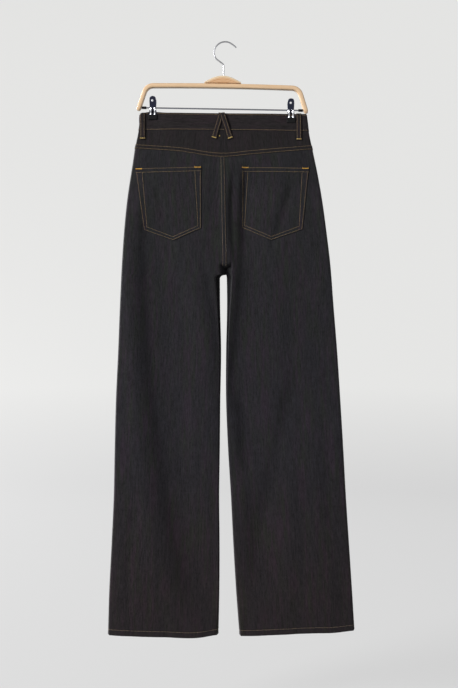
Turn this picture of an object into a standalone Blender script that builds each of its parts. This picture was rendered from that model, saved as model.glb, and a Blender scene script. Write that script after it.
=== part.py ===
"""Wide leg denim jeans hanging from a bent wood clip hanger, as one rigid body.

+X is to the right when the back of the jeans is seen, -Y is the side of that view and +Z is up.
The origin is the inside top of the hanger's hook, the point that it hangs from.

Each cloth piece is a thin closed wall laid on one shared surface. The surface has two halves, the
left leg (-1) and the right leg (+1). Along a half, `around` runs from 0 at the outer fold to +1 at
the inner edge on the back ply, and to -1 at the inner edge on the front ply. Above the crotch the
inner edge is the centre seam, and below it is the inseam. All sizes are in metres; the tables are in
millimetres and are read through MM.
"""

import math
from collections import namedtuple

import bmesh
import bpy
import numpy as np
from mathutils import Matrix

MM = 0.001
LEFT, RIGHT = -1, 1
BACK, FRONT = 1, -1

# ---------------------------------------------------------------- driving sizes
GAP = 0.3 * MM  # between pieces that meet at a seam
LAY_GAP = 0.5 * MM  # between a panel and what lies on it
DENIM = 1.2 * MM  # one layer of raw denim
BAND_PROUD = 0.5 * MM  # how far the waistband stands out of the panels
BAND_INSIDE = 2.3 * MM  # how far its layers reach inwards
UNDER_LAP = 36 * MM  # its end runs this far past the centre front, under its own start
LAP_START = 30 * MM  # this far before the centre front it starts to sink behind
LAP_STEP = 24 * MM  # and it has sunk over this width
POCKET_CLOTH = 1.3 * MM
THIN_CLOTH = 1.0 * MM  # facing, fly and zip tape
HEM_HEIGHT = 11.5 * MM
HEM_CLOTH = 2.6 * MM
FOLD_SHARE = 0.2  # share of a half's width count spent on each rounded fold
SIDE_SEAM = 0.12  # the side seam lies this far round on the front ply
CROTCH_HEIGHT = -478 * MM  # where the four leg panels meet
SADDLE_HEIGHT = 20 * MM  # the centre seams curve under over this height
ARCH_HEIGHT = 13 * MM  # the gap between the legs opens over this height
PARTING_HEIGHT = 140 * MM  # the swell of a ply eases to the leg's width over this height
BLEND_BELOW = 320 * MM  # at the outer edge a leg's section turns into the seat's from here
BLEND_ABOVE = 200 * MM  # to here, measured from the crotch
HEM_LEVEL = -1230 * MM
YOKE_LEVEL = -232 * MM
BAND_LEVEL = -186 * MM
TOP_LEVEL = -150 * MM
FRONT_LEVEL = -198 * MM

# Edges of the hanging jeans, seen square on. The inner edges start where the legs part.
Edge = namedtuple("Edge", "height left_outer left_inner right_inner right_outer")
EDGES = [
    Edge(-146, -175.5, -11, 3, 168.5),
    Edge(-161, -177.0, -11, 3, 171.0),
    Edge(-186, -180.5, -11, 3, 174.0),
    Edge(-220, -187.0, -11, 3, 180.5),
    Edge(-261, -193.5, -11, 3, 189.5),
    Edge(-328, -203.5, -11, 3, 201.5),
    Edge(-394, -210.0, -11, 3, 210.5),
    Edge(-461, -214.5, -11, 3, 218.5),
    Edge(-544, -218.5, -10.5, 4.0, 225.0),
    Edge(-644, -222.5, -8.3, 2.0, 233.0),
    Edge(-744, -227.0, -10.0, 2.0, 239.5),
    Edge(-843, -229.5, -11.0, 6.0, 245.5),
    Edge(-943, -231.5, -12.3, 12.0, 251.0),
    Edge(-1043, -236.0, -11.5, 17.0, 257.5),
    Edge(-1143, -241.0, -12.0, 23.0, 264.0),
    Edge(-1235, -243.5, -14.0, 30.0, 269.5),
]

# How far each ply stands from the hanger's plane, the radius of the fold at the outer edge, and
# the width of the turn at the inner edge.
Depth = namedtuple("Depth", "height back front outer_fold inner_turn")
DEPTHS = [
    Depth(-140, 9, 10, 3.8, 22),
    Depth(-190, 12, 12, 4.4, 22),
    Depth(-240, 17, 15, 5.0, 22),
    Depth(-330, 23, 18, 6.0, 22),
    Depth(-430, 24, 19, 6.5, 20),
    Depth(-478, 23, 20, 7.0, 14),
    Depth(-545, 21, 20, 7.0, 10),
    Depth(-700, 19, 19, 7.0, 8),
    Depth(-950, 18, 19, 7.0, 8),
    Depth(-1235, 20, 20, 7.5, 8),
]

# Centre seam of the back and the front, from the waist down to the crotch.
SeamPoint = namedtuple("SeamPoint", "height across")
CENTRE_SEAM = [
    SeamPoint(-146, -4.0),
    SeamPoint(-241, -1.5),
    SeamPoint(-331, 0.0),
    SeamPoint(-413, 1.0),
    SeamPoint(-478, -1.2),
]

# Heights of the long seams and edges across the garment.
Line = namedtuple("Line", "across back front")
BAND_TOP = [
    Line(-177, -154.0, -154.0),
    Line(-173, -148.5, -149.0),
    Line(-166, -146.6, -147.5),
    Line(-120, -147.2, -152.0),
    Line(-60, -148.0, -163.0),
    Line(-4, -148.7, -168.0),
    Line(60, -149.1, -164.0),
    Line(120, -149.5, -154.0),
    Line(169, -149.8, -150.0),
]
BAND_SEAM = [
    Line(-182, -184.5, -184.5),
    Line(-120, -184.5, -189.5),
    Line(-60, -184.9, -200.5),
    Line(-4, -185.3, -205.5),
    Line(60, -186.0, -201.5),
    Line(120, -186.5, -191.5),
    Line(175, -187.0, -187.0),
]
YOKE_SEAM = [
    Line(-186, -222.9, -222.9),
    Line(-93, -230.0, -222.9),
    Line(-3, -241.2, -222.9),
    Line(52, -236.1, -225.1),
    Line(181, -225.1, -225.1),
]
HEM = [
    Line(-243, -1229.0, -1229.0),
    Line(-204, -1230.5, -1230.5),
    Line(-130, -1232.5, -1232.5),
    Line(-50, -1233.5, -1233.5),
    Line(-14, -1228.5, -1228.5),
    Line(30, -1230.5, -1230.5),
    Line(100, -1228.0, -1228.0),
    Line(180, -1224.5, -1224.5),
    Line(235, -1223.0, -1223.0),
    Line(269, -1219.0, -1219.0),
]

# Largest folds: a soft ridge (+) or trough (-) that runs from its top through its middle to its foot.
Fold = namedtuple("Fold", "ply top_x middle_x foot_x top_z foot_z width depth")
FOLDS = [
    # back ply
    Fold(BACK, 10, 10, 9, -205, -450, 6.5, -4.5),
    Fold(BACK, 26, 26, 22, -230, -440, 9, 2.5),
    Fold(BACK, -18, -16, -14, -240, -440, 12, -1.6),
    Fold(BACK, -171, -156, -115, -404, -1072, 14, -5.5),
    Fold(BACK, -198, -192, -172, -480, -1140, 14, 2.5),
    Fold(BACK, -118, -108, -80, -430, -1120, 20, 2.8),
    Fold(BACK, -36, -20, -12, -440, -650, 9, -3.0),
    Fold(BACK, -58, -44, -36, -440, -700, 14, 2.2),
    Fold(BACK, 18, 28, 33, -470, -930, 9, -4.5),
    Fold(BACK, 52, 58, 66, -480, -1010, 16, 2.6),
    Fold(BACK, 120, 112, 104, -520, -1120, 22, -2.6),
    Fold(BACK, 178, 182, 196, -440, -1160, 18, 2.4),
    Fold(BACK, 58, 52, 44, -930, -1236, 12, -2.4),
    Fold(BACK, 168, 160, 150, -900, -1236, 16, -2.4),
    Fold(BACK, -60, -52, -44, -900, -1236, 14, -2.2),
    # front ply
    Fold(FRONT, 6, 7, 4, -380, -452, 7, -2.0),
    Fold(FRONT, -26, -60, -104, -452, -520, 9, -2.6),
    Fold(FRONT, 26, 62, 108, -455, -530, 9, -2.8),
    Fold(FRONT, -150, -136, -120, -430, -1040, 15, -4.5),
    Fold(FRONT, -84, -80, -72, -520, -1130, 20, 2.8),
    Fold(FRONT, -36, -34, -30, -500, -860, 9, -3.2),
    Fold(FRONT, 140, 134, 126, -450, -1080, 16, -4.5),
    Fold(FRONT, 78, 82, 90, -540, -1120, 20, 2.8),
    Fold(FRONT, 196, 202, 214, -420, -1130, 14, 2.2),
    Fold(FRONT, -150, -158, -168, -860, -1236, 14, -2.2),
    Fold(FRONT, 70, 62, 56, -900, -1236, 13, -2.4),
]

# Back pockets: five corners, seen square on.
Pocket = namedtuple("Pocket", "top_in top_out side_in side_out point")
POCKETS = {
    "left": Pocket((-49.4, -260.5), (-185.4, -263.7), (-49.3, -388.7), (-168.8, -391.6),
                   (-107.4, -413.6)),
    "right": Pocket((34.1, -260.5), (173.0, -262.6), (34.0, -386.6), (160.2, -390.6),
                    (95.4, -413.1)),
}

# Belt loops: centre line from its top to its foot, how far its top and its foot stand off the
# waistband's face, and its number of points across.
Loop = namedtuple("Loop", "ply top foot lift_top lift_foot across")
LOOP_WIDTH = 10.6 * MM
LOOP_CLOTH = 1.8 * MM
LOOP_BOW = 0.7 * MM  # the middle of a loop stands off this much more
LOOP_OVER = 0.6 * MM  # a loop's top stands this far over the waistband's edge
LOOPS = {
    "belt_loop_back_left": Loop(BACK, (-171.2, -147.4), (-171.0, -203.6), 1.1, 0.5, 5),
    "belt_loop_back_right": Loop(BACK, (152.6, -149.2), (153.0, -205.6), 1.1, 0.5, 4),
    "belt_loop_cross_under": Loop(BACK, (-8.0, -148.2), (-23.6, -202.2), 0.7, 0.5, 3),
    "belt_loop_cross_over": Loop(BACK, (-6.4, -148.2), (11.2, -203.0), 3.6, 0.5, 3),
    "belt_loop_front_left": Loop(FRONT, (-96.0, -155.6), (-95.0, -211.0), 1.1, 0.5, 3),
    "belt_loop_front_right": Loop(FRONT, (90.0, -158.4), (89.0, -213.6), 1.1, 0.5, 3),
}

# Hanger
HANGER_CENTRE = (-5 * MM, -92.5 * MM)
HANGER_TILT = math.radians(-1.0)
BOW_HALF_BAR = 143.6 * MM
BOW_ARCH = 1.6 * MM
BOW_CORNER_RADIUS = 20 * MM
BOW_ARM_ANGLE = math.radians(72)
BOW_DROP = 52 * MM
BOW_HEIGHT = 9.5 * MM
BOW_DEPTH = 13 * MM
BOW_EDGE = 1.8 * MM
CROWN_EDGE = 0.8 * MM
CROWN_HALF_WIDTH = 38 * MM
CROWN_RISE = 13.2 * MM
CROWN_TIP = 2.2 * MM  # its height at its two tips
CROWN_DEPTH = 15 * MM
HOOK_WIRE = 3 * MM
HOOK_RADIUS = 22.8 * MM
HOOK_SHANK_X = -2.9 * MM
ROD_WIRE = 3 * MM
ROD_DROP = 46 * MM
ROD_BORE_DEPTH = 3 * MM
STOPPER_LENGTH = 9.5 * MM
STOPPER_DIAMETER = 5.6 * MM
PAD_WIDTH = 18 * MM
PAD_HEIGHT = 10.5 * MM
PAD_FACE = 7.2 * MM  # outer face of a pad, from the hanger's plane
JAW_STEEL = 1.1 * MM
JAW_STANDOFF = PAD_FACE + GAP
BARREL_DIAMETER = 7 * MM
BARREL_LENGTH = 11 * MM
Clip = namedtuple("Clip", "across pad_top")
CLIPS = {"left": Clip(-150.2, -151.5), "right": Clip(136.6, -158.0)}
CLIP_PINCH = 0.28  # share of the waist's depth that a clip presses away
CLIP_REACH = 24 * MM


# ---------------------------------------------------------------- the shared cloth surface
def smooth(stations, values):
    """A smooth line through the rows of a table, level past its ends."""
    stations = np.array(stations, float) * MM
    values = np.array(values, float) * MM
    if stations[0] > stations[-1]:
        stations, values = stations[::-1], values[::-1]
    slopes = np.gradient(values, stations)

    def read(at):
        at = np.clip(at, stations[0], stations[-1])
        row = np.clip(np.searchsorted(stations, at) - 1, 0, len(stations) - 2)
        width = stations[row + 1] - stations[row]
        t = (at - stations[row]) / width
        return (
            values[row] * (1 + 2 * t) * (1 - t) ** 2
            + values[row + 1] * t * t * (3 - 2 * t)
            + width * (slopes[row] * t * (1 - t) ** 2 - slopes[row + 1] * t * t * (1 - t))
        )

    return read


def column(table, name, by):
    return smooth([getattr(row, by) for row in table], [getattr(row, name) for row in table])


OUTER = {
    LEFT: column(EDGES, "left_outer", "height"),
    RIGHT: column(EDGES, "right_outer", "height"),
}
INNER = {
    LEFT: column(EDGES, "left_inner", "height"),
    RIGHT: column(EDGES, "right_inner", "height"),
}
PLY_DEPTH = {BACK: column(DEPTHS, "back", "height"), FRONT: column(DEPTHS, "front", "height")}
OUTER_FOLD = column(DEPTHS, "outer_fold", "height")
INNER_TURN = column(DEPTHS, "inner_turn", "height")
CENTRE = column(CENTRE_SEAM, "across", "height")


def quarter_round(share):
    """Rises from 0 to 1 along a quarter of a circle."""
    share = np.clip(share, 0, 1)
    return np.sqrt(1 - (1 - share) ** 2)


def ease(share):
    share = np.clip(share, 0, 1)
    return share * share * (3 - 2 * share)


def edges_at(half, height):
    """Outer edge and inner edge of a half."""
    seam = CENTRE(height) + half * GAP / 2
    parted = quarter_round((CROTCH_HEIGHT - height) / ARCH_HEIGHT)
    return OUTER[half](height), seam + (INNER[half](height) - seam) * parted


def swell_width(half, height):
    """Width that a ply's swell is spread over; it eases from the seat's to the leg's."""
    parted = ease((CROTCH_HEIGHT - height) / PARTING_HEIGHT)
    inner = CENTRE(height) + half * GAP / 2
    inner = inner + (INNER[half](height) - inner) * parted
    return np.abs(inner - OUTER[half](height))


def joined_at(from_inner, height):
    """How far a leg's section has become the seat's, 0 to 1.

    At the inner edge the change takes the height of the saddle; towards the outer edge it is longer
    and softer, so that no step runs across the leg.
    """
    start = CROTCH_HEIGHT - BLEND_BELOW * from_inner
    share = (height - start) / (SADDLE_HEIGHT + (BLEND_BELOW + BLEND_ABOVE) * from_inner)
    soft = ease(from_inner / 0.07)
    return quarter_round(share) * (1 - soft) + ease(share) * soft


def inset_of(around, width, fold, turn):
    """Distance from the outer edge, with the steps bunched at both edges."""
    share = np.abs(around)
    first = fold * (1 - np.cos(np.clip(share / FOLD_SHARE, 0, 1) * math.pi / 2))
    last = turn * (1 - np.cos(np.clip((1 - share) / FOLD_SHARE, 0, 1) * math.pi / 2))
    middle = np.clip((share - FOLD_SHARE) / (1 - 2 * FOLD_SHARE), 0, 1)
    return first + (width - fold - turn) * middle + (turn - last)


def around_at(half, across, height):
    """The place along a half, 0 to 1, that lies at this X."""
    outer, inner = edges_at(half, height)
    width, inset = np.abs(inner - outer), np.abs(across - outer)
    inset = np.clip(inset, 0, width)
    fold, turn = OUTER_FOLD(height), INNER_TURN(height)
    first = np.arccos(np.clip(1 - inset / fold, 0, 1)) / (math.pi / 2)
    last = np.arccos(np.clip(1 - (width - inset) / turn, 0, 1)) / (math.pi / 2)
    middle = np.clip((inset - fold) / (width - fold - turn), 0, 1)
    return FOLD_SHARE * first + (1 - 2 * FOLD_SHARE) * middle + FOLD_SHARE * (1 - last)


def fold_height(ply, across, height):
    """Sum of the ridges and troughs of a ply at a place."""
    total = np.zeros_like(across)
    for fold in FOLDS:
        if fold.ply != ply:
            continue
        t = (fold.top_z * MM - height) / ((fold.top_z - fold.foot_z) * MM)
        inside = np.clip(t, 0, 1)
        bend = 4 * inside * (1 - inside) * (fold.middle_x - (fold.top_x + fold.foot_x) / 2)
        line = (fold.top_x + (fold.foot_x - fold.top_x) * inside + bend) * MM
        runs_out = fold.foot_z * MM < HEM_LEVEL
        fade = ease(inside * 4) * (1.0 if runs_out else ease((1 - inside) * 3))
        total += fold.depth * MM * fade * np.exp(-(((across - line) / (fold.width * MM)) ** 2))
    return total


def bare_point(half, around, height):
    """X, Y, Z of the surface, without a lift."""
    outer, inner = edges_at(half, height)
    width = np.abs(inner - outer)
    fold, turn = OUTER_FOLD(height), INNER_TURN(height)
    inset = inset_of(around, width, fold, turn)
    across = outer - half * inset
    share = inset / swell_width(half, height)
    joined = joined_at(1 - inset / width, height)
    outer_round = quarter_round(inset / fold)
    inner_round = quarter_round((width - inset) / turn)
    back = around > 0
    depth = np.where(back, PLY_DEPTH[BACK](height), PLY_DEPTH[FRONT](height))
    leg = (fold * outer_round + (depth - fold) * 4 * share * (1 - share)) * inner_round
    torso = fold * outer_round + (depth - fold) * (1 - (1 - share) ** 2)
    swell = leg + (torso - leg) * joined
    pressed = ease((height + 240 * MM) / (60 * MM))
    for clip in CLIPS.values():
        near = np.exp(-(((across - clip.across * MM) / CLIP_REACH) ** 2))
        swell = swell * (1 - CLIP_PINCH * pressed * near)
    flat = quarter_round(inset / (2 * fold))
    flat = flat * (joined + (1 - joined) * quarter_round((width - inset) / (2 * turn)))
    folds = np.where(back, fold_height(BACK, across, height), fold_height(FRONT, across, height))
    swell = swell + flat * folds
    return np.stack([across, np.where(back, -swell, swell), height], axis=-1)


def cloth(half, around, height, lift=0.0):
    """Points of the surface, moved out along its normal by `lift`."""
    around, height = np.broadcast_arrays(np.asarray(around, float), np.asarray(height, float))
    step, rise = 1e-3, 0.2 * MM
    ahead = bare_point(half, np.clip(around + step, -1, 1), height)
    behind = bare_point(half, np.clip(around - step, -1, 1), height)
    above = bare_point(half, around, height + rise)
    below = bare_point(half, around, height - rise)
    normal = np.cross(ahead - behind, above - below) * -half
    normal /= np.linalg.norm(normal, axis=-1, keepdims=True)
    lift = np.broadcast_to(np.asarray(lift, float), around.shape)
    return bare_point(half, around, height) + normal * lift[..., None]


def seam_half_gap(height):
    """Half of GAP as a step of `around`, at a rounded fold."""
    return GAP / 2 / (OUTER_FOLD(height) * math.pi / 2 / FOLD_SHARE)


def line_height(table, half, around, level):
    """Height of a seam or edge at a place along a half."""
    across = bare_point(half, around, np.full_like(around, level))[..., 0]
    back, front = column(table, "back", "across"), column(table, "front", "across")
    return np.where(around > 0, back(across), front(across))


# ---------------------------------------------------------------- making objects
def material(name, colour, roughness, metallic=0.0):
    made = bpy.data.materials.new(name)
    made.use_nodes = True
    shader = made.node_tree.nodes["Principled BSDF"]
    shader.inputs["Base Color"].default_value = (*colour, 1.0)
    shader.inputs["Roughness"].default_value = roughness
    shader.inputs["Metallic"].default_value = metallic
    return made


def add_object(name, data, finish, collection):
    obj = bpy.data.objects.new(name, data)
    data.materials.append(finish)
    collection.objects.link(obj)
    return obj


def closed_sheet(name, finish, collection, columns, rows, place):
    """A grid with two sides and a rim, whose points go where place(column, row, side) says."""
    sheet = bmesh.new()
    bmesh.ops.create_grid(sheet, x_segments=columns - 1, y_segments=rows - 1, size=0.5)
    grown = bmesh.ops.extrude_face_region(sheet, geom=sheet.faces[:], use_keep_orig=True)
    for item in grown["geom"]:
        if isinstance(item, bmesh.types.BMVert):
            item.co.z = 1.0
    flat = np.array([vert.co[:] for vert in sheet.verts])
    at_column = np.rint((flat[:, 0] + 0.5) * (columns - 1)).astype(int)
    at_row = np.rint((flat[:, 1] + 0.5) * (rows - 1)).astype(int)
    side = np.rint(flat[:, 2]).astype(int)
    for vert, point in zip(sheet.verts, place(at_column, at_row, side)):
        vert.co = point
    bmesh.ops.recalc_face_normals(sheet, faces=sheet.faces[:])
    mesh = bpy.data.meshes.new(name)
    sheet.to_mesh(mesh)
    sheet.free()
    mesh.shade_smooth()
    mesh.set_sharp_from_angle(angle=math.radians(40))
    return add_object(name, mesh, finish, collection)


def lay_on(half, around, height, outer, inner):
    """A place function for closed_sheet: grids of (row, column) values, one per point."""

    def place(at_column, at_row, side):
        lift = np.where(side == 0, outer[at_row, at_column], inner[at_row, at_column])
        return cloth(half, around[at_row, at_column], height[at_row, at_column], lift)

    return place


def full(shape, value):
    return np.full(shape, float(value))


# ---------------------------------------------------------------- jeans
def half_columns():
    """The shared steps along a half, from its outer fold to its inner edge."""
    rounded = np.linspace(0, FOLD_SHARE, 4)
    middle = np.linspace(FOLD_SHARE, 1 - FOLD_SHARE, 8)
    return np.concatenate([rounded, middle[1:], 1 - rounded[-2::-1]])


def panel_levels(top):
    """Row heights of a leg panel, hem to top, closest together at the crotch."""
    swing = np.radians([0, 18, 36, 54, 72, 90])
    saddle = CROTCH_HEIGHT + SADDLE_HEIGHT * (1 - np.cos(swing))
    swing = np.radians([30, 60, 90])
    arch = CROTCH_HEIGHT - ARCH_HEIGHT * (1 - np.cos(swing))
    hem = HEM_LEVEL + np.array([0, HEM_HEIGHT - 0.5 * MM, HEM_HEIGHT + 0.5 * MM])
    leg = np.linspace(HEM_LEVEL + 60 * MM, arch[-1] - 40 * MM, 13)
    seat = np.linspace(saddle[-1] + 30 * MM, top - 28 * MM, 6)
    return np.concatenate([hem, leg, arch[::-1], saddle, seat, [top]])


def leg_panel(name, half, ply, finish, collection):
    table, top = (YOKE_SEAM, YOKE_LEVEL) if ply == BACK else (BAND_SEAM, FRONT_LEVEL)
    levels = panel_levels(top)
    steps_at = back_steps if ply == BACK else front_steps
    around = np.array([steps_at(level) for level in levels])
    level = np.repeat(levels[:, None], around.shape[1], axis=1)
    around[:, -1] -= ply * seam_half_gap(levels)
    hem_share = np.clip(1 - (level - HEM_LEVEL) / (120 * MM), 0, 1)
    top_share = np.clip(1 - (top - level) / (110 * MM), 0, 1)
    hem_line = line_height(HEM, half, around, HEM_LEVEL)
    top_line = line_height(table, half, around, YOKE_LEVEL if ply == BACK else BAND_LEVEL)
    height = level + (hem_line - HEM_LEVEL) * hem_share
    height += (top_line - GAP / 2 - top) * top_share
    inner = np.where(level < HEM_LEVEL + HEM_HEIGHT, -HEM_CLOTH, -DENIM)
    place = lay_on(half, around, height, full(level.shape, 0), inner)
    return closed_sheet(name, finish, collection, around.shape[1], len(levels), place)


def yoke(name, half, finish, collection):
    shares = np.linspace(0, 1, 3)
    share, around = np.meshgrid(shares, back_steps(BAND_LEVEL), indexing="ij")
    low = line_height(YOKE_SEAM, half, around, YOKE_LEVEL) + GAP / 2
    high = line_height(BAND_SEAM, half, around, BAND_LEVEL) - GAP / 2
    height = low + (high - low) * share
    place = lay_on(half, around, height, full(share.shape, 0), full(share.shape, -DENIM))
    return closed_sheet(name, finish, collection, around.shape[1], len(shares), place)


def back_steps(height):
    """From the side seam round the outer fold to the inner edge, on the back ply."""
    steps = np.concatenate([[-SIDE_SEAM, -SIDE_SEAM / 2], half_columns()])
    steps[0] += seam_half_gap(height)
    return steps


def front_steps(height):
    """From the side seam to the inner edge, on the front ply."""
    steps = half_columns()
    steps = -np.concatenate([[SIDE_SEAM], steps[steps > SIDE_SEAM * 1.1]])
    steps[0] -= seam_half_gap(height)
    return steps


def band_strip(name, halves, around, lifts, finish, collection):
    """A stretch of the waistband. Each column lies on a half, at a place and with a lift."""
    rows = 3

    def place(at_column, at_row, side):
        points = np.empty((len(at_column), 3))
        for half in (LEFT, RIGHT):
            mine = halves[at_column] == half
            at = around[at_column][mine]
            low = line_height(BAND_SEAM, half, at, BAND_LEVEL) + GAP / 2
            high = line_height(BAND_TOP, half, at, TOP_LEVEL)
            height = low + (high - low) * at_row[mine] / (rows - 1)
            lift = np.where(side[mine] == 0, BAND_PROUD, -BAND_INSIDE) + lifts[at_column][mine]
            points[mine] = cloth(half, at, height, lift)
        return points

    return closed_sheet(name, finish, collection, len(around), rows, place)


def waistband(finish, collection):
    """Back and front stretches; the right front one runs on under the start of the left one."""
    for word, half in (("left", LEFT), ("right", RIGHT)):
        around = back_steps(BAND_LEVEL)
        halves, lifts = np.full(len(around), half), np.zeros(len(around))
        band_strip(f"waistband_back_{word}", halves, around, lifts, finish, collection)
    around = front_steps(BAND_LEVEL)
    halves, lifts = np.full(len(around), LEFT), np.zeros(len(around))
    band_strip("waistband_front_left", halves, around, lifts, finish, collection)
    centre = CENTRE(BAND_LEVEL)
    behind = -(BAND_PROUD + BAND_INSIDE + LAY_GAP)
    to_centre = bare_point(RIGHT, around, np.full(len(around), BAND_LEVEL))[:, 0] - centre
    lap = centre - UNDER_LAP * np.linspace(0.25, 1, 4)
    lap_around = -around_at(LEFT, lap, np.full(4, BAND_LEVEL))
    halves = np.concatenate([np.full(len(around), RIGHT), np.full(4, LEFT)])
    lifts = np.concatenate([behind * ease((LAP_START - to_centre) / LAP_STEP), np.full(4, behind)])
    around = np.concatenate([around, lap_around])
    band_strip("waistband_front_right", halves, around, lifts, finish, collection)


def on_ply(ply, across, height, lift):
    """Points over a ply at these X and Z, on whichever half of the garment they lie."""
    left = cloth(LEFT, ply * around_at(LEFT, across, height), height, lift)
    right = cloth(RIGHT, ply * around_at(RIGHT, across, height), height, lift)
    return np.where((across < CENTRE(height))[..., None], left, right)


def patch(name, ply, across, height, inner, outer, finish, collection):
    """A piece laid on a ply: grids of X and Z, and the lift of its two sides."""
    inner = np.broadcast_to(inner, across.shape)
    outer = np.broadcast_to(outer, across.shape)

    def place(at_column, at_row, side):
        lift = np.where(side == 0, outer[at_row, at_column], inner[at_row, at_column])
        return on_ply(ply, across[at_row, at_column], height[at_row, at_column], lift)

    return closed_sheet(name, finish, collection, across.shape[1], across.shape[0], place)


def back_pocket(name, pocket, finish, collection):
    """Five sided: the foot of each column lies on one of the two slanting edges."""
    corners = {key: np.array(value) * MM for key, value in pocket._asdict().items()}
    to_point = (corners["point"][0] - corners["side_in"][0]) / (
        corners["side_out"][0] - corners["side_in"][0]
    )
    shares = np.concatenate([np.linspace(0, to_point, 6), np.linspace(to_point, 1, 6)[1:]])
    grid_x, grid_z = [], []
    for down in np.linspace(0, 1, 10):
        row = []
        for share in shares:
            top = corners["top_in"] + (corners["top_out"] - corners["top_in"]) * share
            if share <= to_point:
                start, end, t = corners["side_in"], corners["point"], share / to_point
            else:
                start, end = corners["point"], corners["side_out"]
                t = (share - to_point) / (1 - to_point)
            foot = start + (end - start) * t
            row.append(top + (foot - top) * down)
        grid_x.append([point[0] for point in row])
        grid_z.append([point[1] for point in row])
    across, height = np.array(grid_x), np.array(grid_z)
    return patch(
        name, BACK, across, height, LAY_GAP, LAY_GAP + POCKET_CLOTH, finish, collection
    )


def belt_loop(name, loop, finish, collection):
    """A strip along its centre line, standing a little off the cloth in its middle."""
    rows = 9
    top, foot = np.array(loop.top) * MM, np.array(loop.foot) * MM
    along = (foot - top) / np.linalg.norm(foot - top)
    share = np.linspace(0, 1, rows)[:, None]
    side = np.linspace(-0.5, 0.5, loop.across)[None, :] * LOOP_WIDTH
    across = top[0] + (foot[0] - top[0]) * share - along[1] * side
    height = top[1] + (foot[1] - top[1]) * share + along[0] * side
    band_top = column(BAND_TOP, "back" if loop.ply == BACK else "front", "across")(across)
    height = np.minimum(height, band_top + LOOP_OVER * (1 - share))
    lift = loop.lift_top + (loop.lift_foot - loop.lift_top) * ease((share - 0.4) / 0.5)
    lift = BAND_PROUD + lift * MM + LOOP_BOW * np.sin(math.pi * share) ** 2 + 0 * across
    return patch(name, loop.ply, across, height, lift, lift + LOOP_CLOTH, finish, collection)


FACING_WIDTH = 96 * MM
FACING_HEIGHT = 92 * MM
SCOOP_WIDTH = 80 * MM
SCOOP_HEIGHT = 72 * MM
FLY_WIDTH = 38 * MM
FLY_LENGTH = 165 * MM
FLY_OVER = 3 * MM
FLY_STRAIGHT = 0.72  # share of its length before the foot starts to round
FLY_ROUND = 0.93
ZIP_WIDTH = 26 * MM
ZIP_LENGTH = 150 * MM


def inside_patch(name, across, height, thickness, finish, collection):
    """A piece just inside the front ply."""
    inner = -(DENIM + LAY_GAP + thickness)
    return patch(name, FRONT, across, height, inner, -(DENIM + LAY_GAP), finish, collection)


def front_facing(name, half, finish, collection):
    """The cloth that shows in the scooped pocket opening, just inside the front ply."""
    shares = np.concatenate([np.linspace(0, 0.12, 4), np.linspace(0.12, 1, 6)[1:]])
    down = np.linspace(0, 1, 6)[:, None]
    outer = OUTER[half](BAND_LEVEL - down * FACING_HEIGHT)
    tucked = np.full((6, 1), SIDE_SEAM * 0.75)
    side = bare_point(half, tucked, BAND_LEVEL - down * FACING_HEIGHT)[..., 0]
    start = np.abs(side - outer)
    inset = start + (FACING_WIDTH - start) * shares[None, :]
    across = outer - half * inset
    seam = column(BAND_SEAM, "front", "across")(across) - 2 * GAP
    height = seam - down * FACING_HEIGHT
    return inside_patch(name, across, height, THIN_CLOTH, finish, collection)


def scoop_cutter(name, half, cutters):
    """An elliptical bar through the front ply only, at the corner of side seam and waistband."""
    mesh = bpy.data.meshes.new(name)
    shape = bmesh.new()
    turned = Matrix.Rotation(math.radians(90), 4, "X")
    bmesh.ops.create_cone(
        shape, cap_ends=True, segments=40, radius1=1.0, radius2=1.0, depth=60 * MM, matrix=turned
    )
    corner = bare_point(half, np.array(-SIDE_SEAM), np.array(BAND_LEVEL))
    for vert in shape.verts:
        vert.co.x = corner[0] + vert.co.x * SCOOP_WIDTH
        vert.co.z = BAND_LEVEL + 2 * MM + vert.co.z * SCOOP_HEIGHT
        vert.co.y += 30 * MM
    bmesh.ops.recalc_face_normals(shape, faces=shape.faces[:])
    shape.to_mesh(mesh)
    shape.free()
    cutter = bpy.data.objects.new(name, mesh)
    cutter.hide_render = True
    cutter.display_type = "WIRE"
    cutters.objects.link(cutter)
    return cutter


def cut(obj, cutter):
    modifier = obj.modifiers.new("Cut " + cutter.name, "BOOLEAN")
    modifier.operation = "DIFFERENCE"
    modifier.solver = "EXACT"
    modifier.object = cutter


def fly_placket(finish, collection):
    """Lies on the left front along the centre, with a rounded foot."""
    centre = CENTRE(BAND_LEVEL)
    rounded = 1 - FLY_STRAIGHT
    foot = FLY_STRAIGHT + rounded * np.sin(np.radians([25, 50, 72, 90]))
    down = np.concatenate([np.linspace(0, FLY_STRAIGHT, 5), foot])
    into_foot = np.clip((down - FLY_STRAIGHT) / rounded, 0, 1)
    span = FLY_WIDTH * np.sqrt(1 - FLY_ROUND * into_foot**2)[:, None]
    shares = np.linspace(0, 1, 5)[None, :]
    across = centre + FLY_OVER - (span + FLY_OVER) * shares
    seam = column(BAND_SEAM, "front", "across")(across) - GAP
    height = seam - FLY_LENGTH * down[:, None]
    return patch(
        "fly_placket", FRONT, across, height, LAY_GAP, LAY_GAP + THIN_CLOTH, finish, collection
    )


def zip_tape(finish, collection):
    """Straight tape behind the fly, inside the left front."""
    centre = CENTRE(BAND_LEVEL)
    down = np.linspace(0, 1, 7)[:, None]
    across = centre - 1.5 * MM - ZIP_WIDTH * np.linspace(0, 1, 3)[None, :] + 0 * down
    seam = column(BAND_SEAM, "front", "across")(across) - 2 * GAP
    height = seam - ZIP_LENGTH * down
    return inside_patch("zip_tape", across, height, THIN_CLOTH, finish, collection)


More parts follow.
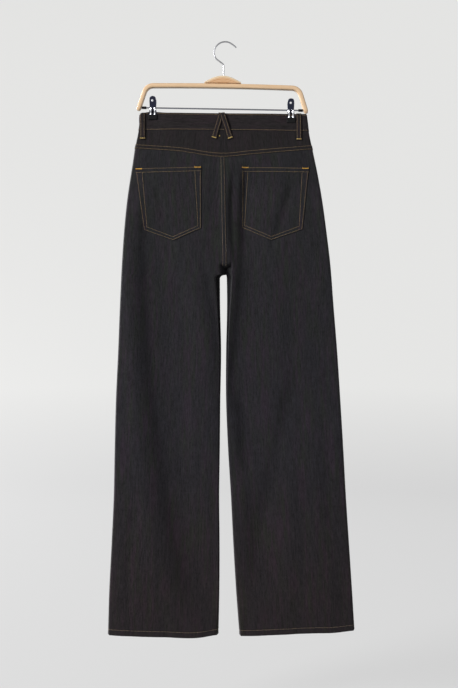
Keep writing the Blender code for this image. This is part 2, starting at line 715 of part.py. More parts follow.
def button(finish, collection):
    """A domed tack button on the waistband's front, turned about its own axis."""
    across = CENTRE(BAND_LEVEL) - 15 * MM
    low = float(column(BAND_SEAM, "front", "across")(across))
    high = float(column(BAND_TOP, "front", "across")(across))
    at = np.array((low + high) / 2)
    around = -around_at(LEFT, np.array(across), at)
    spot = cloth(LEFT, around, at, BAND_PROUD + LAY_GAP)
    profile = [(0, 3.2), (4.0, 3.0), (7.0, 2.4), (8.5, 1.4), (8.5, 0.6), (7.6, 0), (0, 0)]
    mesh = bpy.data.meshes.new("button")
    outline = bmesh.new()
    verts = [outline.verts.new((r * MM, 0, h * MM)) for r, h in profile]
    for first, second in zip(verts, verts[1:]):
        outline.edges.new((first, second))
    outline.to_mesh(mesh)
    outline.free()
    obj = add_object("button", mesh, finish, collection)
    spin = obj.modifiers.new("Turn", "SCREW")
    spin.steps = spin.render_steps = 20
    spin.use_merge_vertices = True
    spin.merge_threshold = 0.00001
    spin.use_normal_calculate = True
    obj.location = spot
    obj.rotation_euler = (math.radians(-90), 0, 0)
    return obj


def make_jeans(collection, cutters):
    denim = material("Raw denim", (0.020, 0.019, 0.022), 0.85)
    inside = material("Denim facing", (0.024, 0.023, 0.026), 0.85)
    brass = material("Aged brass", (0.45, 0.30, 0.14), 0.35, 1.0)
    tape = material("Zip tape", (0.015, 0.015, 0.017), 0.7)
    for word, half in (("left", LEFT), ("right", RIGHT)):
        leg_panel(f"back_panel_{word}", half, BACK, denim, collection)
        front = leg_panel(f"front_panel_{word}", half, FRONT, denim, collection)
        cut(front, scoop_cutter(f"scoop_{word}", half, cutters))
        yoke(f"yoke_{word}", half, denim, collection)
        front_facing(f"pocket_facing_{word}", half, inside, collection)
        back_pocket(f"back_pocket_{word}", POCKETS[word], denim, collection)
    waistband(denim, collection)
    for name, loop in LOOPS.items():
        belt_loop(name, loop, denim, collection)
    fly_placket(denim, collection)
    zip_tape(tape, collection)
    button(brass, collection)


# ---------------------------------------------------------------- hanger
def on_hanger(points):
    """Points of the hanger's own upright frame, tilted as it hangs. Pairs of X and Z."""
    cos, sin = math.cos(HANGER_TILT), math.sin(HANGER_TILT)
    return [
        (HANGER_CENTRE[0] + x * cos - z * sin, HANGER_CENTRE[1] + x * sin + z * cos)
        for x, z in points
    ]


def bow_centre_line():
    """Right half of the bow: an arched bar, a round corner and a slanting arm."""
    points = []
    for share in np.linspace(0, 1, 9):
        points.append((BOW_HALF_BAR * share, BOW_ARCH * (1 - share**2)))
    for turn in np.linspace(0, BOW_ARM_ANGLE, 8)[1:]:
        x = BOW_HALF_BAR + BOW_CORNER_RADIUS * math.sin(turn)
        points.append((x, -BOW_CORNER_RADIUS * (1 - math.cos(turn))))
    x, z = points[-1]
    length = (BOW_DROP + z) / math.sin(BOW_ARM_ANGLE)
    for share in (0.5, 1.0):
        step = length * share
        points.append((x + step * math.cos(BOW_ARM_ANGLE), z - step * math.sin(BOW_ARM_ANGLE)))
    return points


def flat_outline(name, points, depth, edge, finish, collection):
    """A 2D curve in the hanger's plane, filled and given a depth along Y with eased edges."""
    curve = bpy.data.curves.new(name, "CURVE")
    curve.dimensions = "2D"
    curve.fill_mode = "BOTH"
    curve.extrude = depth / 2 - edge
    curve.bevel_depth = edge
    curve.bevel_resolution = 1
    curve.offset = -edge
    spline = curve.splines.new("POLY")
    spline.points.add(len(points) - 1)
    for point, (x, z) in zip(spline.points, points):
        point.co = (x, z, 0, 1)
    spline.use_cyclic_u = True
    holder = bpy.data.objects.new(name + "_curve", curve)
    collection.objects.link(holder)
    holder.rotation_euler = (math.radians(90), 0, 0)
    bpy.context.view_layer.update()
    return mesh_of_curve(holder, name, finish, collection)


def mesh_of_curve(holder, name, finish, collection):
    """The evaluated curve as a mesh object with its caps welded."""
    graph = bpy.context.evaluated_depsgraph_get()
    mesh = bpy.data.meshes.new_from_object(holder.evaluated_get(graph))
    mesh.name = name
    welded = bmesh.new()
    welded.from_mesh(mesh)
    bmesh.ops.remove_doubles(welded, verts=welded.verts[:], dist=0.01 * MM)
    bmesh.ops.recalc_face_normals(welded, faces=welded.faces[:])
    welded.to_mesh(mesh)
    welded.free()
    mesh.materials.clear()
    obj = add_object(name, mesh, finish, collection)
    obj.matrix_world = holder.matrix_world.copy()
    bpy.data.objects.remove(holder)
    return obj


def bow(finish, collection):
    right = bow_centre_line()
    line = [(-x, z) for x, z in reversed(right[1:])] + right
    outer, inner = [], []
    for index, (x, z) in enumerate(line):
        before, after = line[max(index - 1, 0)], line[min(index + 1, len(line) - 1)]
        dx, dz = after[0] - before[0], after[1] - before[1]
        size = math.hypot(dx, dz)
        to_end = min(index, len(line) - 1 - index)
        half = BOW_HEIGHT / 2 * (1.0 if to_end > 1 else 0.93 if to_end == 1 else 0.62)
        outer.append((x - dz / size * half, z + dx / size * half))
        inner.append((x + dz / size * half, z - dx / size * half))
    outline = on_hanger(outer + inner[::-1])
    return flat_outline("hanger_bow", outline, BOW_DEPTH, BOW_EDGE, finish, collection)


def crown(finish, collection):
    """Lens shaped block glued on the middle of the bar."""
    foot = BOW_ARCH + BOW_HEIGHT / 2 + GAP
    shares = np.linspace(-1, 1, 15)
    top = [(CROWN_HALF_WIDTH * s, foot + CROWN_TIP + CROWN_RISE * math.cos(s * math.pi / 2))
           for s in shares]
    points = top[::-1] + [(-CROWN_HALF_WIDTH, foot), (CROWN_HALF_WIDTH, foot)]
    outline = on_hanger(points[::-1])
    return flat_outline("hanger_crown", outline, CROWN_DEPTH, CROWN_EDGE, finish, collection)


def wire(name, points, diameter, finish, collection, sides=2):
    curve = bpy.data.curves.new(name, "CURVE")
    curve.dimensions = "3D"
    curve.bevel_depth = diameter / 2
    curve.bevel_resolution = sides
    curve.use_fill_caps = True
    spline = curve.splines.new("POLY")
    spline.points.add(len(points) - 1)
    for point, at in zip(spline.points, points):
        point.co = (*at, 1)
    return add_object(name, curve, finish, collection)


def hook(finish, collection):
    """A round hook with a flared tip, a kink under it and a straight shank into the crown."""
    centre_z = HOOK_WIRE / 2 - HOOK_RADIUS
    path = [(23.4 * MM, -10.8 * MM), (18.0 * MM, -5.9 * MM)]
    for degrees in np.linspace(58, 208, 17):
        turn = math.radians(degrees)
        path.append((HOOK_RADIUS * math.cos(turn), centre_z + HOOK_RADIUS * math.sin(turn)))
    path += [(-17.6 * MM, -35.0 * MM), (-5.6 * MM, -43.8 * MM), (-3.6 * MM, -45.9 * MM)]
    path += [(HOOK_SHANK_X, -48.8 * MM), (HOOK_SHANK_X, -83 * MM)]
    points = [(x, 0, z) for x, z in path]
    return wire("hanger_hook", points, HOOK_WIRE, finish, collection)


def bar_cutter(name, start, end, diameter, cutters):
    """A straight cylinder between two points of the hanger's plane."""
    dx, dz = end[0] - start[0], end[1] - start[1]
    length = math.hypot(dx, dz)
    turned = Matrix.Rotation(math.atan2(dx, dz), 4, "Y")
    middle = Matrix.Translation(((start[0] + end[0]) / 2, 0, (start[1] + end[1]) / 2))
    shape = bmesh.new()
    bmesh.ops.create_cone(
        shape, cap_ends=True, segments=16, radius1=diameter / 2, radius2=diameter / 2,
        depth=length, matrix=middle @ turned,
    )
    mesh = bpy.data.meshes.new(name)
    shape.to_mesh(mesh)
    shape.free()
    cutter = bpy.data.objects.new(name, mesh)
    cutter.hide_render = True
    cutter.display_type = "WIRE"
    cutters.objects.link(cutter)
    return cutter


def arm_inner_face():
    """Half the clear width between the arms at the rod's height."""
    x, z = BOW_HALF_BAR, 0.0
    x += BOW_CORNER_RADIUS * math.sin(BOW_ARM_ANGLE)
    z -= BOW_CORNER_RADIUS * (1 - math.cos(BOW_ARM_ANGLE))
    x += (ROD_DROP + z) / math.tan(BOW_ARM_ANGLE)
    return x - BOW_HEIGHT / 2 / math.sin(BOW_ARM_ANGLE)


def tube(name, start, end, outer, bore, finish, collection):
    """A turned sleeve on the rod, from one place along it to another."""
    profile = [(outer / 2, start), (outer / 2, end), (bore / 2, end), (bore / 2, start)]
    mesh = bpy.data.meshes.new(name)
    outline = bmesh.new()
    verts = [outline.verts.new((radius, 0, at)) for radius, at in profile]
    for index, vert in enumerate(verts):
        outline.edges.new((vert, verts[index - 1]))
    outline.to_mesh(mesh)
    outline.free()
    obj = add_object(name, mesh, finish, collection)
    spin = obj.modifiers.new("Turn", "SCREW")
    spin.steps = spin.render_steps = 14
    spin.use_merge_vertices = True
    spin.merge_threshold = 0.00001
    spin.use_normal_calculate = True
    spin.use_normal_flip = True
    x, z = on_hanger([(0, -ROD_DROP)])[0]
    obj.location = (x, 0, z)
    obj.rotation_euler = (0, math.radians(90) - HANGER_TILT, 0)
    return obj


def rod_place(across):
    """Distance along the rod from its middle, and the rod's height, at a world X."""
    along = (across - on_hanger([(0, -ROD_DROP)])[0][0]) / math.cos(HANGER_TILT)
    return along, on_hanger([(along, -ROD_DROP)])[0][1]


Station = namedtuple("Station", "height out half_width")


def jaw_stations(drop_to_pad):
    """Side profile of a jaw from its finger tab to its tip, about the rod: mm up, out, half width."""
    tip = drop_to_pad - PAD_HEIGHT / MM + 0.8
    return [
        Station(25.0, 11.4, 2.6),
        Station(24.0, 11.1, 5.0),
        Station(21.5, 10.3, 7.0),
        Station(18.0, 9.2, 7.5),
        Station(8.0, 6.4, 7.5),
        Station(2.5, 4.9, 7.2),
        Station(-2.0, 4.6, 6.4),
        Station(-8.0, 5.6, 6.2),
        Station(drop_to_pad + 1.5, JAW_STANDOFF / MM, 6.4),
        Station(tip, JAW_STANDOFF / MM, 6.6),
    ]


def jaw(name, clip, ply, finish, collection):
    """A pressed steel plate, bent about the rod, with its tip on the pad."""
    across = clip.across * MM
    rod_z = rod_place(across)[1]
    stations = jaw_stations(clip.pad_top - rod_z / MM)
    heights = np.array([row.height for row in stations]) * MM + rod_z
    outs = np.array([row.out for row in stations]) * MM
    widths = np.array([row.half_width for row in stations]) * MM
    slope_out, slope_up = np.gradient(outs), np.gradient(heights)
    size = np.hypot(slope_out, slope_up)
    lean_out, lean_up = -slope_up / size, slope_out / size
    columns = 5

    def place(at_column, at_row, side):
        x = across + widths[at_row] * (at_column / (columns - 1) * 2 - 1)
        out = outs[at_row] + lean_out[at_row] * JAW_STEEL * side
        up = heights[at_row] + lean_up[at_row] * JAW_STEEL * side
        return np.stack([x, -ply * out, up], axis=-1)

    return closed_sheet(name, finish, collection, columns, len(stations), place)


def pad(name, clip, half, ply, finish, collection):
    """A rubber pad: its inside follows the waistband, its outside is flat."""
    columns, rows = 6, 4

    def place(at_column, at_row, side):
        across = clip.across * MM + PAD_WIDTH * (at_column / (columns - 1) - 0.5)
        height = clip.pad_top * MM - PAD_HEIGHT * at_row / (rows - 1)
        around = ply * around_at(half, across, height)
        points = cloth(half, around, height, BAND_PROUD + LAY_GAP)
        points[:, 1] = np.where(side == 0, points[:, 1], -ply * PAD_FACE)
        points[:, 0], points[:, 2] = across, height
        return points

    return closed_sheet(name, finish, collection, columns, rows, place)


def make_hanger(collection, cutters):
    pine = material("Pale pine", (0.70, 0.47, 0.27), 0.5)
    redder_pine = material("Laminated pine", (0.62, 0.37, 0.20), 0.5)
    steel = material("Bright steel", (0.62, 0.63, 0.66), 0.2, 1.0)
    rubber = material("Black rubber", (0.012, 0.012, 0.013), 0.6)
    frame = bow(pine, collection)
    block = crown(redder_pine, collection)
    hook(steel, collection)
    shank = bar_cutter("shank_bore", (HOOK_SHANK_X, -60 * MM), (HOOK_SHANK_X, -83.4 * MM),
                       HOOK_WIRE + 2 * GAP, cutters)
    cut(block, shank)
    face = arm_inner_face()
    reach = face + ROD_BORE_DEPTH
    ends = on_hanger([(-reach, -ROD_DROP), (reach, -ROD_DROP)])
    wire("hanger_rod", [(x, 0, z) for x, z in ends], ROD_WIRE, steel, collection)
    for word, side in (("left", -1), ("right", 1)):
        bore_ends = on_hanger([(side * (face - 12 * MM), -ROD_DROP), (side * (reach + GAP), -ROD_DROP)])
        cut(frame, bar_cutter(f"rod_bore_{word}", *bore_ends, ROD_WIRE + 2 * GAP, cutters))
        near, far = face - STOPPER_LENGTH - 3 * MM, face - 3 * MM
        tube(f"rod_stopper_{word}", min(side * near, side * far), max(side * near, side * far),
             STOPPER_DIAMETER, ROD_WIRE + 2 * GAP, rubber, collection)
    for word, clip in CLIPS.items():
        half = LEFT if clip.across < 0 else RIGHT
        along, _ = rod_place(clip.across * MM)
        tube(f"clip_{word}_barrel", along - BARREL_LENGTH / 2, along + BARREL_LENGTH / 2,
             BARREL_DIAMETER, ROD_WIRE + 2 * GAP, steel, collection)
        for side_word, ply in (("back", BACK), ("front", FRONT)):
            jaw(f"clip_{word}_jaw_{side_word}", clip, ply, steel, collection)
            pad(f"clip_{word}_pad_{side_word}", clip, half, ply, rubber, collection)


def main():
    for obj in list(bpy.data.objects):
        bpy.data.objects.remove(obj)
    scene = bpy.context.scene
    jeans_and_hanger = bpy.data.collections.new("Jeans on hanger")
    cutters = bpy.data.collections.new("Cutters")
    scene.collection.children.link(jeans_and_hanger)
    scene.collection.children.link(cutters)
    make_jeans(jeans_and_hanger, cutters)
    make_hanger(jeans_and_hanger, cutters)


main()
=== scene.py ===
"""Looks of the wide leg jeans on a clip hanger, as a lesson in cells."""

# %% [markdown]
# ## The frame
# The jeans and their hanger hang from the origin, with the back of the jeans towards -Y. The frame
# holds every plain solid at its real size. Each cell below makes one finer piece where its solid
# lies. Sizes are in metres, and the tables are in millimetres and are read through MM.

# %% Load the frame
import math
from collections import namedtuple

import bmesh
import bpy
import numpy as np
from mathutils import Matrix, Vector


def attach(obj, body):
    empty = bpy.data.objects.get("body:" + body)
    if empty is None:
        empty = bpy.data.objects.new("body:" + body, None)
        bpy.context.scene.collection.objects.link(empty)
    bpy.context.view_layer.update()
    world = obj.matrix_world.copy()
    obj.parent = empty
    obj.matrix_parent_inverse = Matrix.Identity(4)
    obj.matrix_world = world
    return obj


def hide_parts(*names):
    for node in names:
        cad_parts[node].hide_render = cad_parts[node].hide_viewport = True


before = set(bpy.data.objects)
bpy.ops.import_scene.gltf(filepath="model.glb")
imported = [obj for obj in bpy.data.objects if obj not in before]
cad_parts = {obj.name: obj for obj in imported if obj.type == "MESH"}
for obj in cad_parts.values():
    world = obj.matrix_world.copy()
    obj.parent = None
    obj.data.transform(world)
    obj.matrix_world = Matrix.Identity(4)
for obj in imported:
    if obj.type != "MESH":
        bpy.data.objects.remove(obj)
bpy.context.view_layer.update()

# %% [markdown]
# ## The shape of the hanging cloth
# Real jeans are panels sewn edge to edge, so all of them lie on one surface. That surface has two
# halves, left leg (-1) and right leg (+1). `around` runs from 0 at the outer fold to +1 at the
# inner edge on the back ply, and to -1 on the front ply. Each piece is then a patch of this one
# surface, moved out by its own lift, so neighbours always meet. A cloth simulation would fall into
# folds of its own; a surface worked out from tables keeps the folds that the real pair shows.

# %% Edges, depths and seams, seen square on
MM = 0.001
LEFT, RIGHT = -1, 1
BACK, FRONT = 1, -1
HALVES = {"left": LEFT, "right": RIGHT}
PLIES = {"back": BACK, "front": FRONT}
# Clearances: of hard parts, at a sewn seam, and under a piece that lies on another.
GAP, SEAM_GAP, LAY_GAP = 0.3 * MM, 0.02 * MM, 0.5 * MM
# Thickness of the panels, the folded hem, the pockets and the thin pieces of the front.
DENIM, HEM_CLOTH, POCKET_CLOTH, THIN_CLOTH = 1.2 * MM, 2.6 * MM, 1.0 * MM, 1.0 * MM
POCKET_LIFT = 0.2 * MM
BAND_PROUD, BAND_INSIDE = 0.5 * MM, 2.3 * MM
UNDER_LAP, LAP_START, LAP_STEP = 36 * MM, 30 * MM, 24 * MM
HEM_HEIGHT, HEM_STITCH = 14 * MM, 11.8 * MM
# Shares of a half: its rounded folds, and the side seam's place on the front ply.
FOLD_SHARE, SIDE_SEAM = 0.2, 0.12
# Where the legs part, and the heights over which the seat's section becomes a leg's.
CROTCH_HEIGHT, SADDLE_HEIGHT, ARCH_HEIGHT = -483 * MM, 22 * MM, 8 * MM
PARTING_HEIGHT, BLEND_BELOW, BLEND_ABOVE = 140 * MM, 320 * MM, 200 * MM
# Share of the width over which the sharp turn at the inner edge becomes a soft one.
INNER_SOFT = 0.07
# Even levels of the grids, which the measured lines below then bend.
HEM_LEVEL, YOKE_LEVEL, BAND_LEVEL = -1230 * MM, -232 * MM, -186 * MM
TOP_LEVEL, FRONT_LEVEL = -150 * MM, -198 * MM
# How full the cloth hangs, how much of that stands at the side, and how square its section is.
SETTLED = 0.92
SIDE_BULGE = {LEFT: 0.74, RIGHT: 0.84}
LEG_SQUARE, SEAT_SQUARE = 6, 7
# The lip of the back ply over the gap between the legs: its share, its steps and its run.
LIP, LIP_END, LIP_STEP, LIP_RISE = 0.14, 0.25, 0.58, 0.26
LIP_FROM, LIP_RUN = -800 * MM, 220 * MM
# The centre seam stays closed this far to its sides, and its normals lean apart a little.
SEAM_REACH, SEAM_LEAN = 6 * MM, 0.02
# The clips press the plies together.
CLIP_PINCH, CLIP_REACH, PRESS_FROM, PRESS_RUN = 0.28, 24 * MM, -240 * MM, 60 * MM
Clip = namedtuple("Clip", "across pad_top")
CLIPS = {"left": Clip(-150.2, -151.5), "right": Clip(136.6, -158.0)}

Edge = namedtuple("Edge", "height left_outer left_inner right_inner right_outer")
EDGES = [
    Edge(-146, -175.5, -11, 3, 168.5),
    Edge(-161, -177.0, -11, 3, 171.0),
    Edge(-186, -180.5, -11, 3, 174.0),
    Edge(-220, -187.0, -11, 3, 180.5),
    Edge(-261, -193.5, -11, 3, 189.5),
    Edge(-328, -203.5, -11, 3, 201.5),
    Edge(-394, -210.0, -11, 3, 210.5),
    Edge(-461, -214.5, -11, 3, 218.5),
    Edge(-544, -218.5, -10.5, 4.0, 225.0),
    Edge(-644, -222.5, -8.3, 2.0, 233.0),
    Edge(-744, -227.0, -10.0, 2.0, 239.5),
    Edge(-843, -229.5, -11.0, 6.0, 245.5),
    Edge(-943, -231.5, -12.3, 12.0, 251.0),
    Edge(-1043, -236.0, -11.5, 17.0, 257.5),
    Edge(-1143, -241.0, -12.0, 23.0, 264.0),
    Edge(-1235, -243.5, -14.0, 30.0, 269.5),
]
Depth = namedtuple("Depth", "height back front outer_fold inner_turn")
DEPTHS = [
    Depth(-140, 9, 10, 2.8, 22),
    Depth(-190, 12, 12, 3.2, 22),
    Depth(-240, 17, 15, 3.8, 22),
    Depth(-330, 23, 18, 4.4, 22),
    Depth(-430, 24, 19, 4.6, 19),
    Depth(-478, 23, 20, 4.8, 15),
    Depth(-545, 21, 20, 4.8, 9),
    Depth(-700, 19, 19, 4.8, 4.8),
    Depth(-950, 18, 19, 4.8, 4.0),
    Depth(-1235, 20, 20, 4.8, 4.4),
]
SeamPoint = namedtuple("SeamPoint", "height across")
SEAM_POINTS = [(-146, -4.0), (-241, -1.5), (-331, 0.4), (-413, 2.0), (-460, 2.6), (-478, 1.6)]
CENTRE_SEAM = [SeamPoint(*point) for point in SEAM_POINTS]
Line = namedtuple("Line", "across back front")
BAND_TOP = [
    Line(-177, -154.0, -154.0),
    Line(-173, -148.5, -149.0),
    Line(-166, -146.6, -147.5),
    Line(-120, -147.2, -152.0),
    Line(-60, -148.0, -163.0),
    Line(-4, -148.7, -168.0),
    Line(60, -149.1, -164.0),
    Line(120, -149.5, -154.0),
    Line(169, -149.8, -150.0),
]
BAND_SEAM = [
    Line(-182, -184.5, -184.5),
    Line(-120, -184.5, -189.5),
    Line(-60, -184.9, -200.5),
    Line(-4, -185.3, -205.5),
    Line(60, -186.0, -201.5),
    Line(120, -186.5, -191.5),
    Line(175, -187.0, -187.0),
]
YOKE_SEAM = [
    Line(-186, -222.9, -222.9),
    Line(-93, -230.0, -222.9),
    Line(-3, -241.2, -222.9),
    Line(52, -236.1, -225.1),
    Line(181, -225.1, -225.1),
]
HEM_POINTS = [
    (-243, -1229.0), (-204, -1230.5), (-130, -1232.5), (-50, -1233.5), (-14, -1228.5),
    (30, -1230.5), (100, -1228.0), (180, -1224.5), (235, -1223.0), (269, -1219.0),
]
HEM = [Line(across, height, height) for across, height in HEM_POINTS]
print("edge stations:", len(EDGES), "depth stations:", len(DEPTHS))

# %% [markdown]
# ## Creases
# Raw denim is stiff, so it hangs in a few long soft folds and shows drag lines where the seat meets
# the legs. Each one is a row: where it starts, passes and ends, its width to the left and to the
# right, and its depth, which is negative for a trough. The large folds come first. The faint ones
# are placed one by one, uneven in length and depth.

# %% Folds of both plies
FADE_IN, FADE_OUT = 90 * MM, 130 * MM
FOLD_START_WIDTH, FOLD_WIDENS = 0.72, 0.56
Fold = namedtuple("Fold", "top_x middle_x foot_x top_z foot_z left_width right_width depth")
LARGE_FOLDS = {
    BACK: [
        (22, 15, 30, -244, -490, 7.5, 34, -6.6),
        (44, 40, 42, -236, -472, 9, 62, -11),
        (-18, -16, -14, -240, -440, 12, 12, -2.2),
        (-162, -137, -46, -305, -1228, 20, 60, -8.5),
        (-120, -98, -16, -330, -1228, 33, 68, -4.6),
        (-204, -182, -124, -400, -1200, 16, 22, 3.2),
        (-112, -84, -70, -470, -760, 12, 14, -1.4),
        (-62, -20, -10, -405, -760, 6, 10, -2.4),
        (-84, -50, -36, -440, -700, 14, 14, 1.6),
        (42, 28, 16, -400, -810, 13, 58, -7.6),
        (32, 40, 52, -690, -930, 14, 52, -9),
        (66, 60, 52, -380, -760, 36, 60, -3.5),
        (52, 66, 78, -890, -1190, 22, 50, -6.5),
        (150, 98, 58, -660, -1120, 13, 28, -3.6),
        (182, 190, 200, -760, -1160, 18, 18, 1.4),
        (148, 154, 170, -250, -900, 50, 62, -4.6),
        (22, 16, 14, -590, -780, 10, 22, -2.0),
        (-106, -102, -102, -470, -570, 10, 22, -1.4),
        (143, 122, 92, -262, -445, 9.5, 14, -3.2),
        (-144, -134, -118, -290, -390, 6, 8, -1.6),
        (-190, -196, -206, -930, -1180, 8, 10, -1.6),
        (238, 242, 246, -1060, -1236, 14, 14, -2.2),
    ],
    FRONT: [
        (6, 7, 4, -380, -452, 7, 7, -2.7),
        (-26, -60, -104, -452, -520, 9, 9, -3.5),
        (26, 62, 108, -455, -530, 9, 9, -3.8),
        (-156, -128, -84, -400, -1150, 17, 40, -7.4),
        (-198, -190, -178, -480, -1140, 14, 14, 1.6),
        (-44, -26, -18, -440, -760, 8, 14, -4.3),
        (36, 30, 40, -430, -820, 11, 34, -5.4),
        (152, 128, 96, -450, -1120, 15, 34, -6.1),
        (196, 202, 214, -420, -1130, 16, 16, 1.9),
    ],
}
FAINT_FOLDS = {
    BACK: [
        (-112, -104, -108, -196, -222, 11, 11, -0.5),
        (74, 82, 78, -196, -224, 10, 10, -0.5),
        (-28, -31, -26, -262, -470, 6, 6, -0.9),
        (64, 52, 38, -424, -560, 8, 8, -0.6),
        (118, 132, 142, -420, -700, 11, 11, -0.7),
        (176, 186, 192, -300, -430, 8, 8, -0.9),
        (-196, -190, -182, -320, -470, 7, 7, -0.7),
        (-70, -62, -58, -700, -1225, 7, 9, 0.7),
        (-140, -134, -120, -1080, -1236, 9, 9, -0.9),
        (-206, -200, -196, -1020, -1236, 8, 8, -0.9),
        (-28, -24, -30, -820, -1236, 7, 7, -0.9),
        (-60, -52, -44, -1020, -1236, 12, 12, -1.0),
        (58, 52, 44, -1080, -1236, 10, 10, -1.0),
        (84, 90, 88, -560, -900, 9, 12, -0.8),
        (142, 136, 128, -800, -1236, 8, 8, 0.8),
        (168, 160, 150, -980, -1236, 13, 13, -1.0),
        (208, 212, 226, -600, -1100, 9, 9, -0.9),
        (-14, -30, -52, -470, -530, 7, 7, -0.9),
        (12, 30, 52, -470, -532, 6, 6, -0.9),
    ],
    FRONT: [
        (-122, -112, -96, -262, -330, 9, 9, -0.9),
        (96, 108, 122, -268, -340, 9, 9, -0.9),
        (-18, -44, -78, -420, -470, 6, 6, -1.1),
        (18, 40, 70, -424, -478, 6, 6, -1.2),
        (-196, -190, -186, -760, -1236, 8, 8, -1.0),
        (-106, -100, -96, -820, -1236, 8, 10, -1.0),
        (-58, -52, -48, -700, -1236, 8, 8, -1.0),
        (-20, -22, -28, -800, -1236, 6, 8, 0.8),
        (58, 52, 56, -820, -1236, 8, 12, -1.2),
        (104, 110, 112, -600, -1000, 9, 9, -0.9),
        (160, 168, 182, -840, -1236, 9, 9, -1.1),
        (226, 232, 240, -860, -1236, 8, 10, -1.0),
    ],
}
FOLDS = {ply: [Fold(*row) for row in LARGE_FOLDS[ply] + FAINT_FOLDS[ply]] for ply in (BACK, FRONT)}
print("folds of the back ply:", len(FOLDS[BACK]), "and of the front ply:", len(FOLDS[FRONT]))

# %% Smooth lines through the tables
def smooth(stations, values):
    """A smooth line through the rows of a table, level past its ends."""
    stations = np.array(stations, float) * MM
    values = np.array(values, float) * MM
    if stations[0] > stations[-1]:
        stations, values = stations[::-1], values[::-1]
    slopes = np.gradient(values, stations)

    def read(at):
        at = np.clip(at, stations[0], stations[-1])
        row = np.clip(np.searchsorted(stations, at) - 1, 0, len(stations) - 2)
        width = stations[row + 1] - stations[row]
        t = (at - stations[row]) / width
        return (
            values[row] * (1 + 2 * t) * (1 - t) ** 2
            + values[row + 1] * t * t * (3 - 2 * t)
            + width * (slopes[row] * t * (1 - t) ** 2 - slopes[row + 1] * t * t * (1 - t))
        )

    return read


def column(table, name, by):
    """A smooth line of one column of a table by another."""
    return smooth([getattr(row, by) for row in table], [getattr(row, name) for row in table])


OUTER = {half: column(EDGES, f"{word}_outer", "height") for word, half in HALVES.items()}
INNER = {half: column(EDGES, f"{word}_inner", "height") for word, half in HALVES.items()}
PLY_DEPTH = {ply: column(DEPTHS, side, "height") for side, ply in PLIES.items()}
OUTER_FOLD = column(DEPTHS, "outer_fold", "height")
INNER_TURN = column(DEPTHS, "inner_turn", "height")
CENTRE = column(CENTRE_SEAM, "across", "height")
hem_width = float(INNER[LEFT](HEM_LEVEL) - OUTER[LEFT](HEM_LEVEL))
print("hem width of the left leg:", round(hem_width, 3))


# %% The surface itself
def quarter_round(share):
    """Rises from 0 to 1 along a quarter of a circle."""
    share = np.clip(share, 0, 1)
    return np.sqrt(1 - (1 - share) ** 2)


def ease(share):
    """Rises from 0 to 1, level at both ends."""
    share = np.clip(share, 0, 1)
    return share * share * (3 - 2 * share)


def bump_of(distance):
    """A soft hill, 1 high and about 1 wide to each side."""
    return np.exp(-(distance**2))


def edges_at(half, height):
    """Outer edge and inner edge of a half."""
    seam = CENTRE(height) + half * SEAM_GAP / 2
    parted = quarter_round((CROTCH_HEIGHT - height) / ARCH_HEIGHT)
    return OUTER[half](height), seam + (INNER[half](height) - seam) * parted


def swell_width(half, height):
    """Width that a ply's swell is spread over; it eases from the seat's to the leg's."""
    parted = ease((CROTCH_HEIGHT - height) / PARTING_HEIGHT)
    inner = CENTRE(height) + half * SEAM_GAP / 2
    inner = inner + (INNER[half](height) - inner) * parted
    return np.abs(inner - OUTER[half](height))


def lipped(share):
    """Rises from 0 to 1 with a low lip first: the back ply ends short of the front ply there."""
    share = np.clip(share, 0, 1)
    return LIP * quarter_round(share / LIP_END) + (1 - LIP) * ease((share - LIP_STEP) / LIP_RISE)


def joined_at(from_inner, height, back):
    """How far a leg's section has become the seat's, 0 to 1."""
    start = CROTCH_HEIGHT - BLEND_BELOW * from_inner
    share = (height - start) / (SADDLE_HEIGHT + (BLEND_BELOW + BLEND_ABOVE) * from_inner)
    soft = ease(from_inner / INNER_SOFT)
    under = np.where(back, lipped(share), quarter_round(share))
    return under * (1 - soft) + ease(share) * soft


def inset_of(around, width, fold, turn):
    """Distance from the outer edge, with the steps bunched at both edges."""
    share = np.abs(around)
    first = fold * (1 - np.cos(np.clip(share / FOLD_SHARE, 0, 1) * math.pi / 2))
    last = turn * (1 - np.cos(np.clip((1 - share) / FOLD_SHARE, 0, 1) * math.pi / 2))
    middle = np.clip((share - FOLD_SHARE) / (1 - 2 * FOLD_SHARE), 0, 1)
    return first + (width - fold - turn) * middle + (turn - last)


def around_at(half, across, height):
    """The place along a half, 0 to 1, that lies at this X."""
    outer, inner = edges_at(half, height)
    width, inset = np.abs(inner - outer), np.abs(across - outer)
    inset = np.clip(inset, 0, width)
    fold, turn = OUTER_FOLD(height), INNER_TURN(height)
    first = np.arccos(np.clip(1 - inset / fold, 0, 1)) / (math.pi / 2)
    last = np.arccos(np.clip(1 - (width - inset) / turn, 0, 1)) / (math.pi / 2)
    middle = np.clip((inset - fold) / (width - fold - turn), 0, 1)
    return FOLD_SHARE * first + (1 - 2 * FOLD_SHARE) * middle + FOLD_SHARE * (1 - last)


def fold_height(ply, across, height):
    """Sum of the ridges and troughs of a ply at a place."""
    total = np.zeros_like(across)
    for fold in FOLDS[ply]:
        t = (fold.top_z * MM - height) / ((fold.top_z - fold.foot_z) * MM)
        inside = np.clip(t, 0, 1)
        bend = 4 * inside * (1 - inside) * (fold.middle_x - (fold.top_x + fold.foot_x) / 2)
        line = (fold.top_x + (fold.foot_x - fold.top_x) * inside + bend) * MM
        length = (fold.top_z - fold.foot_z) * MM
        fade = ease(inside * length / min(FADE_IN, length / 3))
        if fold.foot_z * MM >= HEM_LEVEL:
            fade = fade * ease((1 - inside) * length / min(FADE_OUT, length / 3))
        width = np.where(across < line, fold.left_width, fold.right_width) * MM
        width = width * (FOLD_START_WIDTH + FOLD_WIDENS * inside)
        total += fold.depth * MM * fade * bump_of((across - line) / width)
    return total


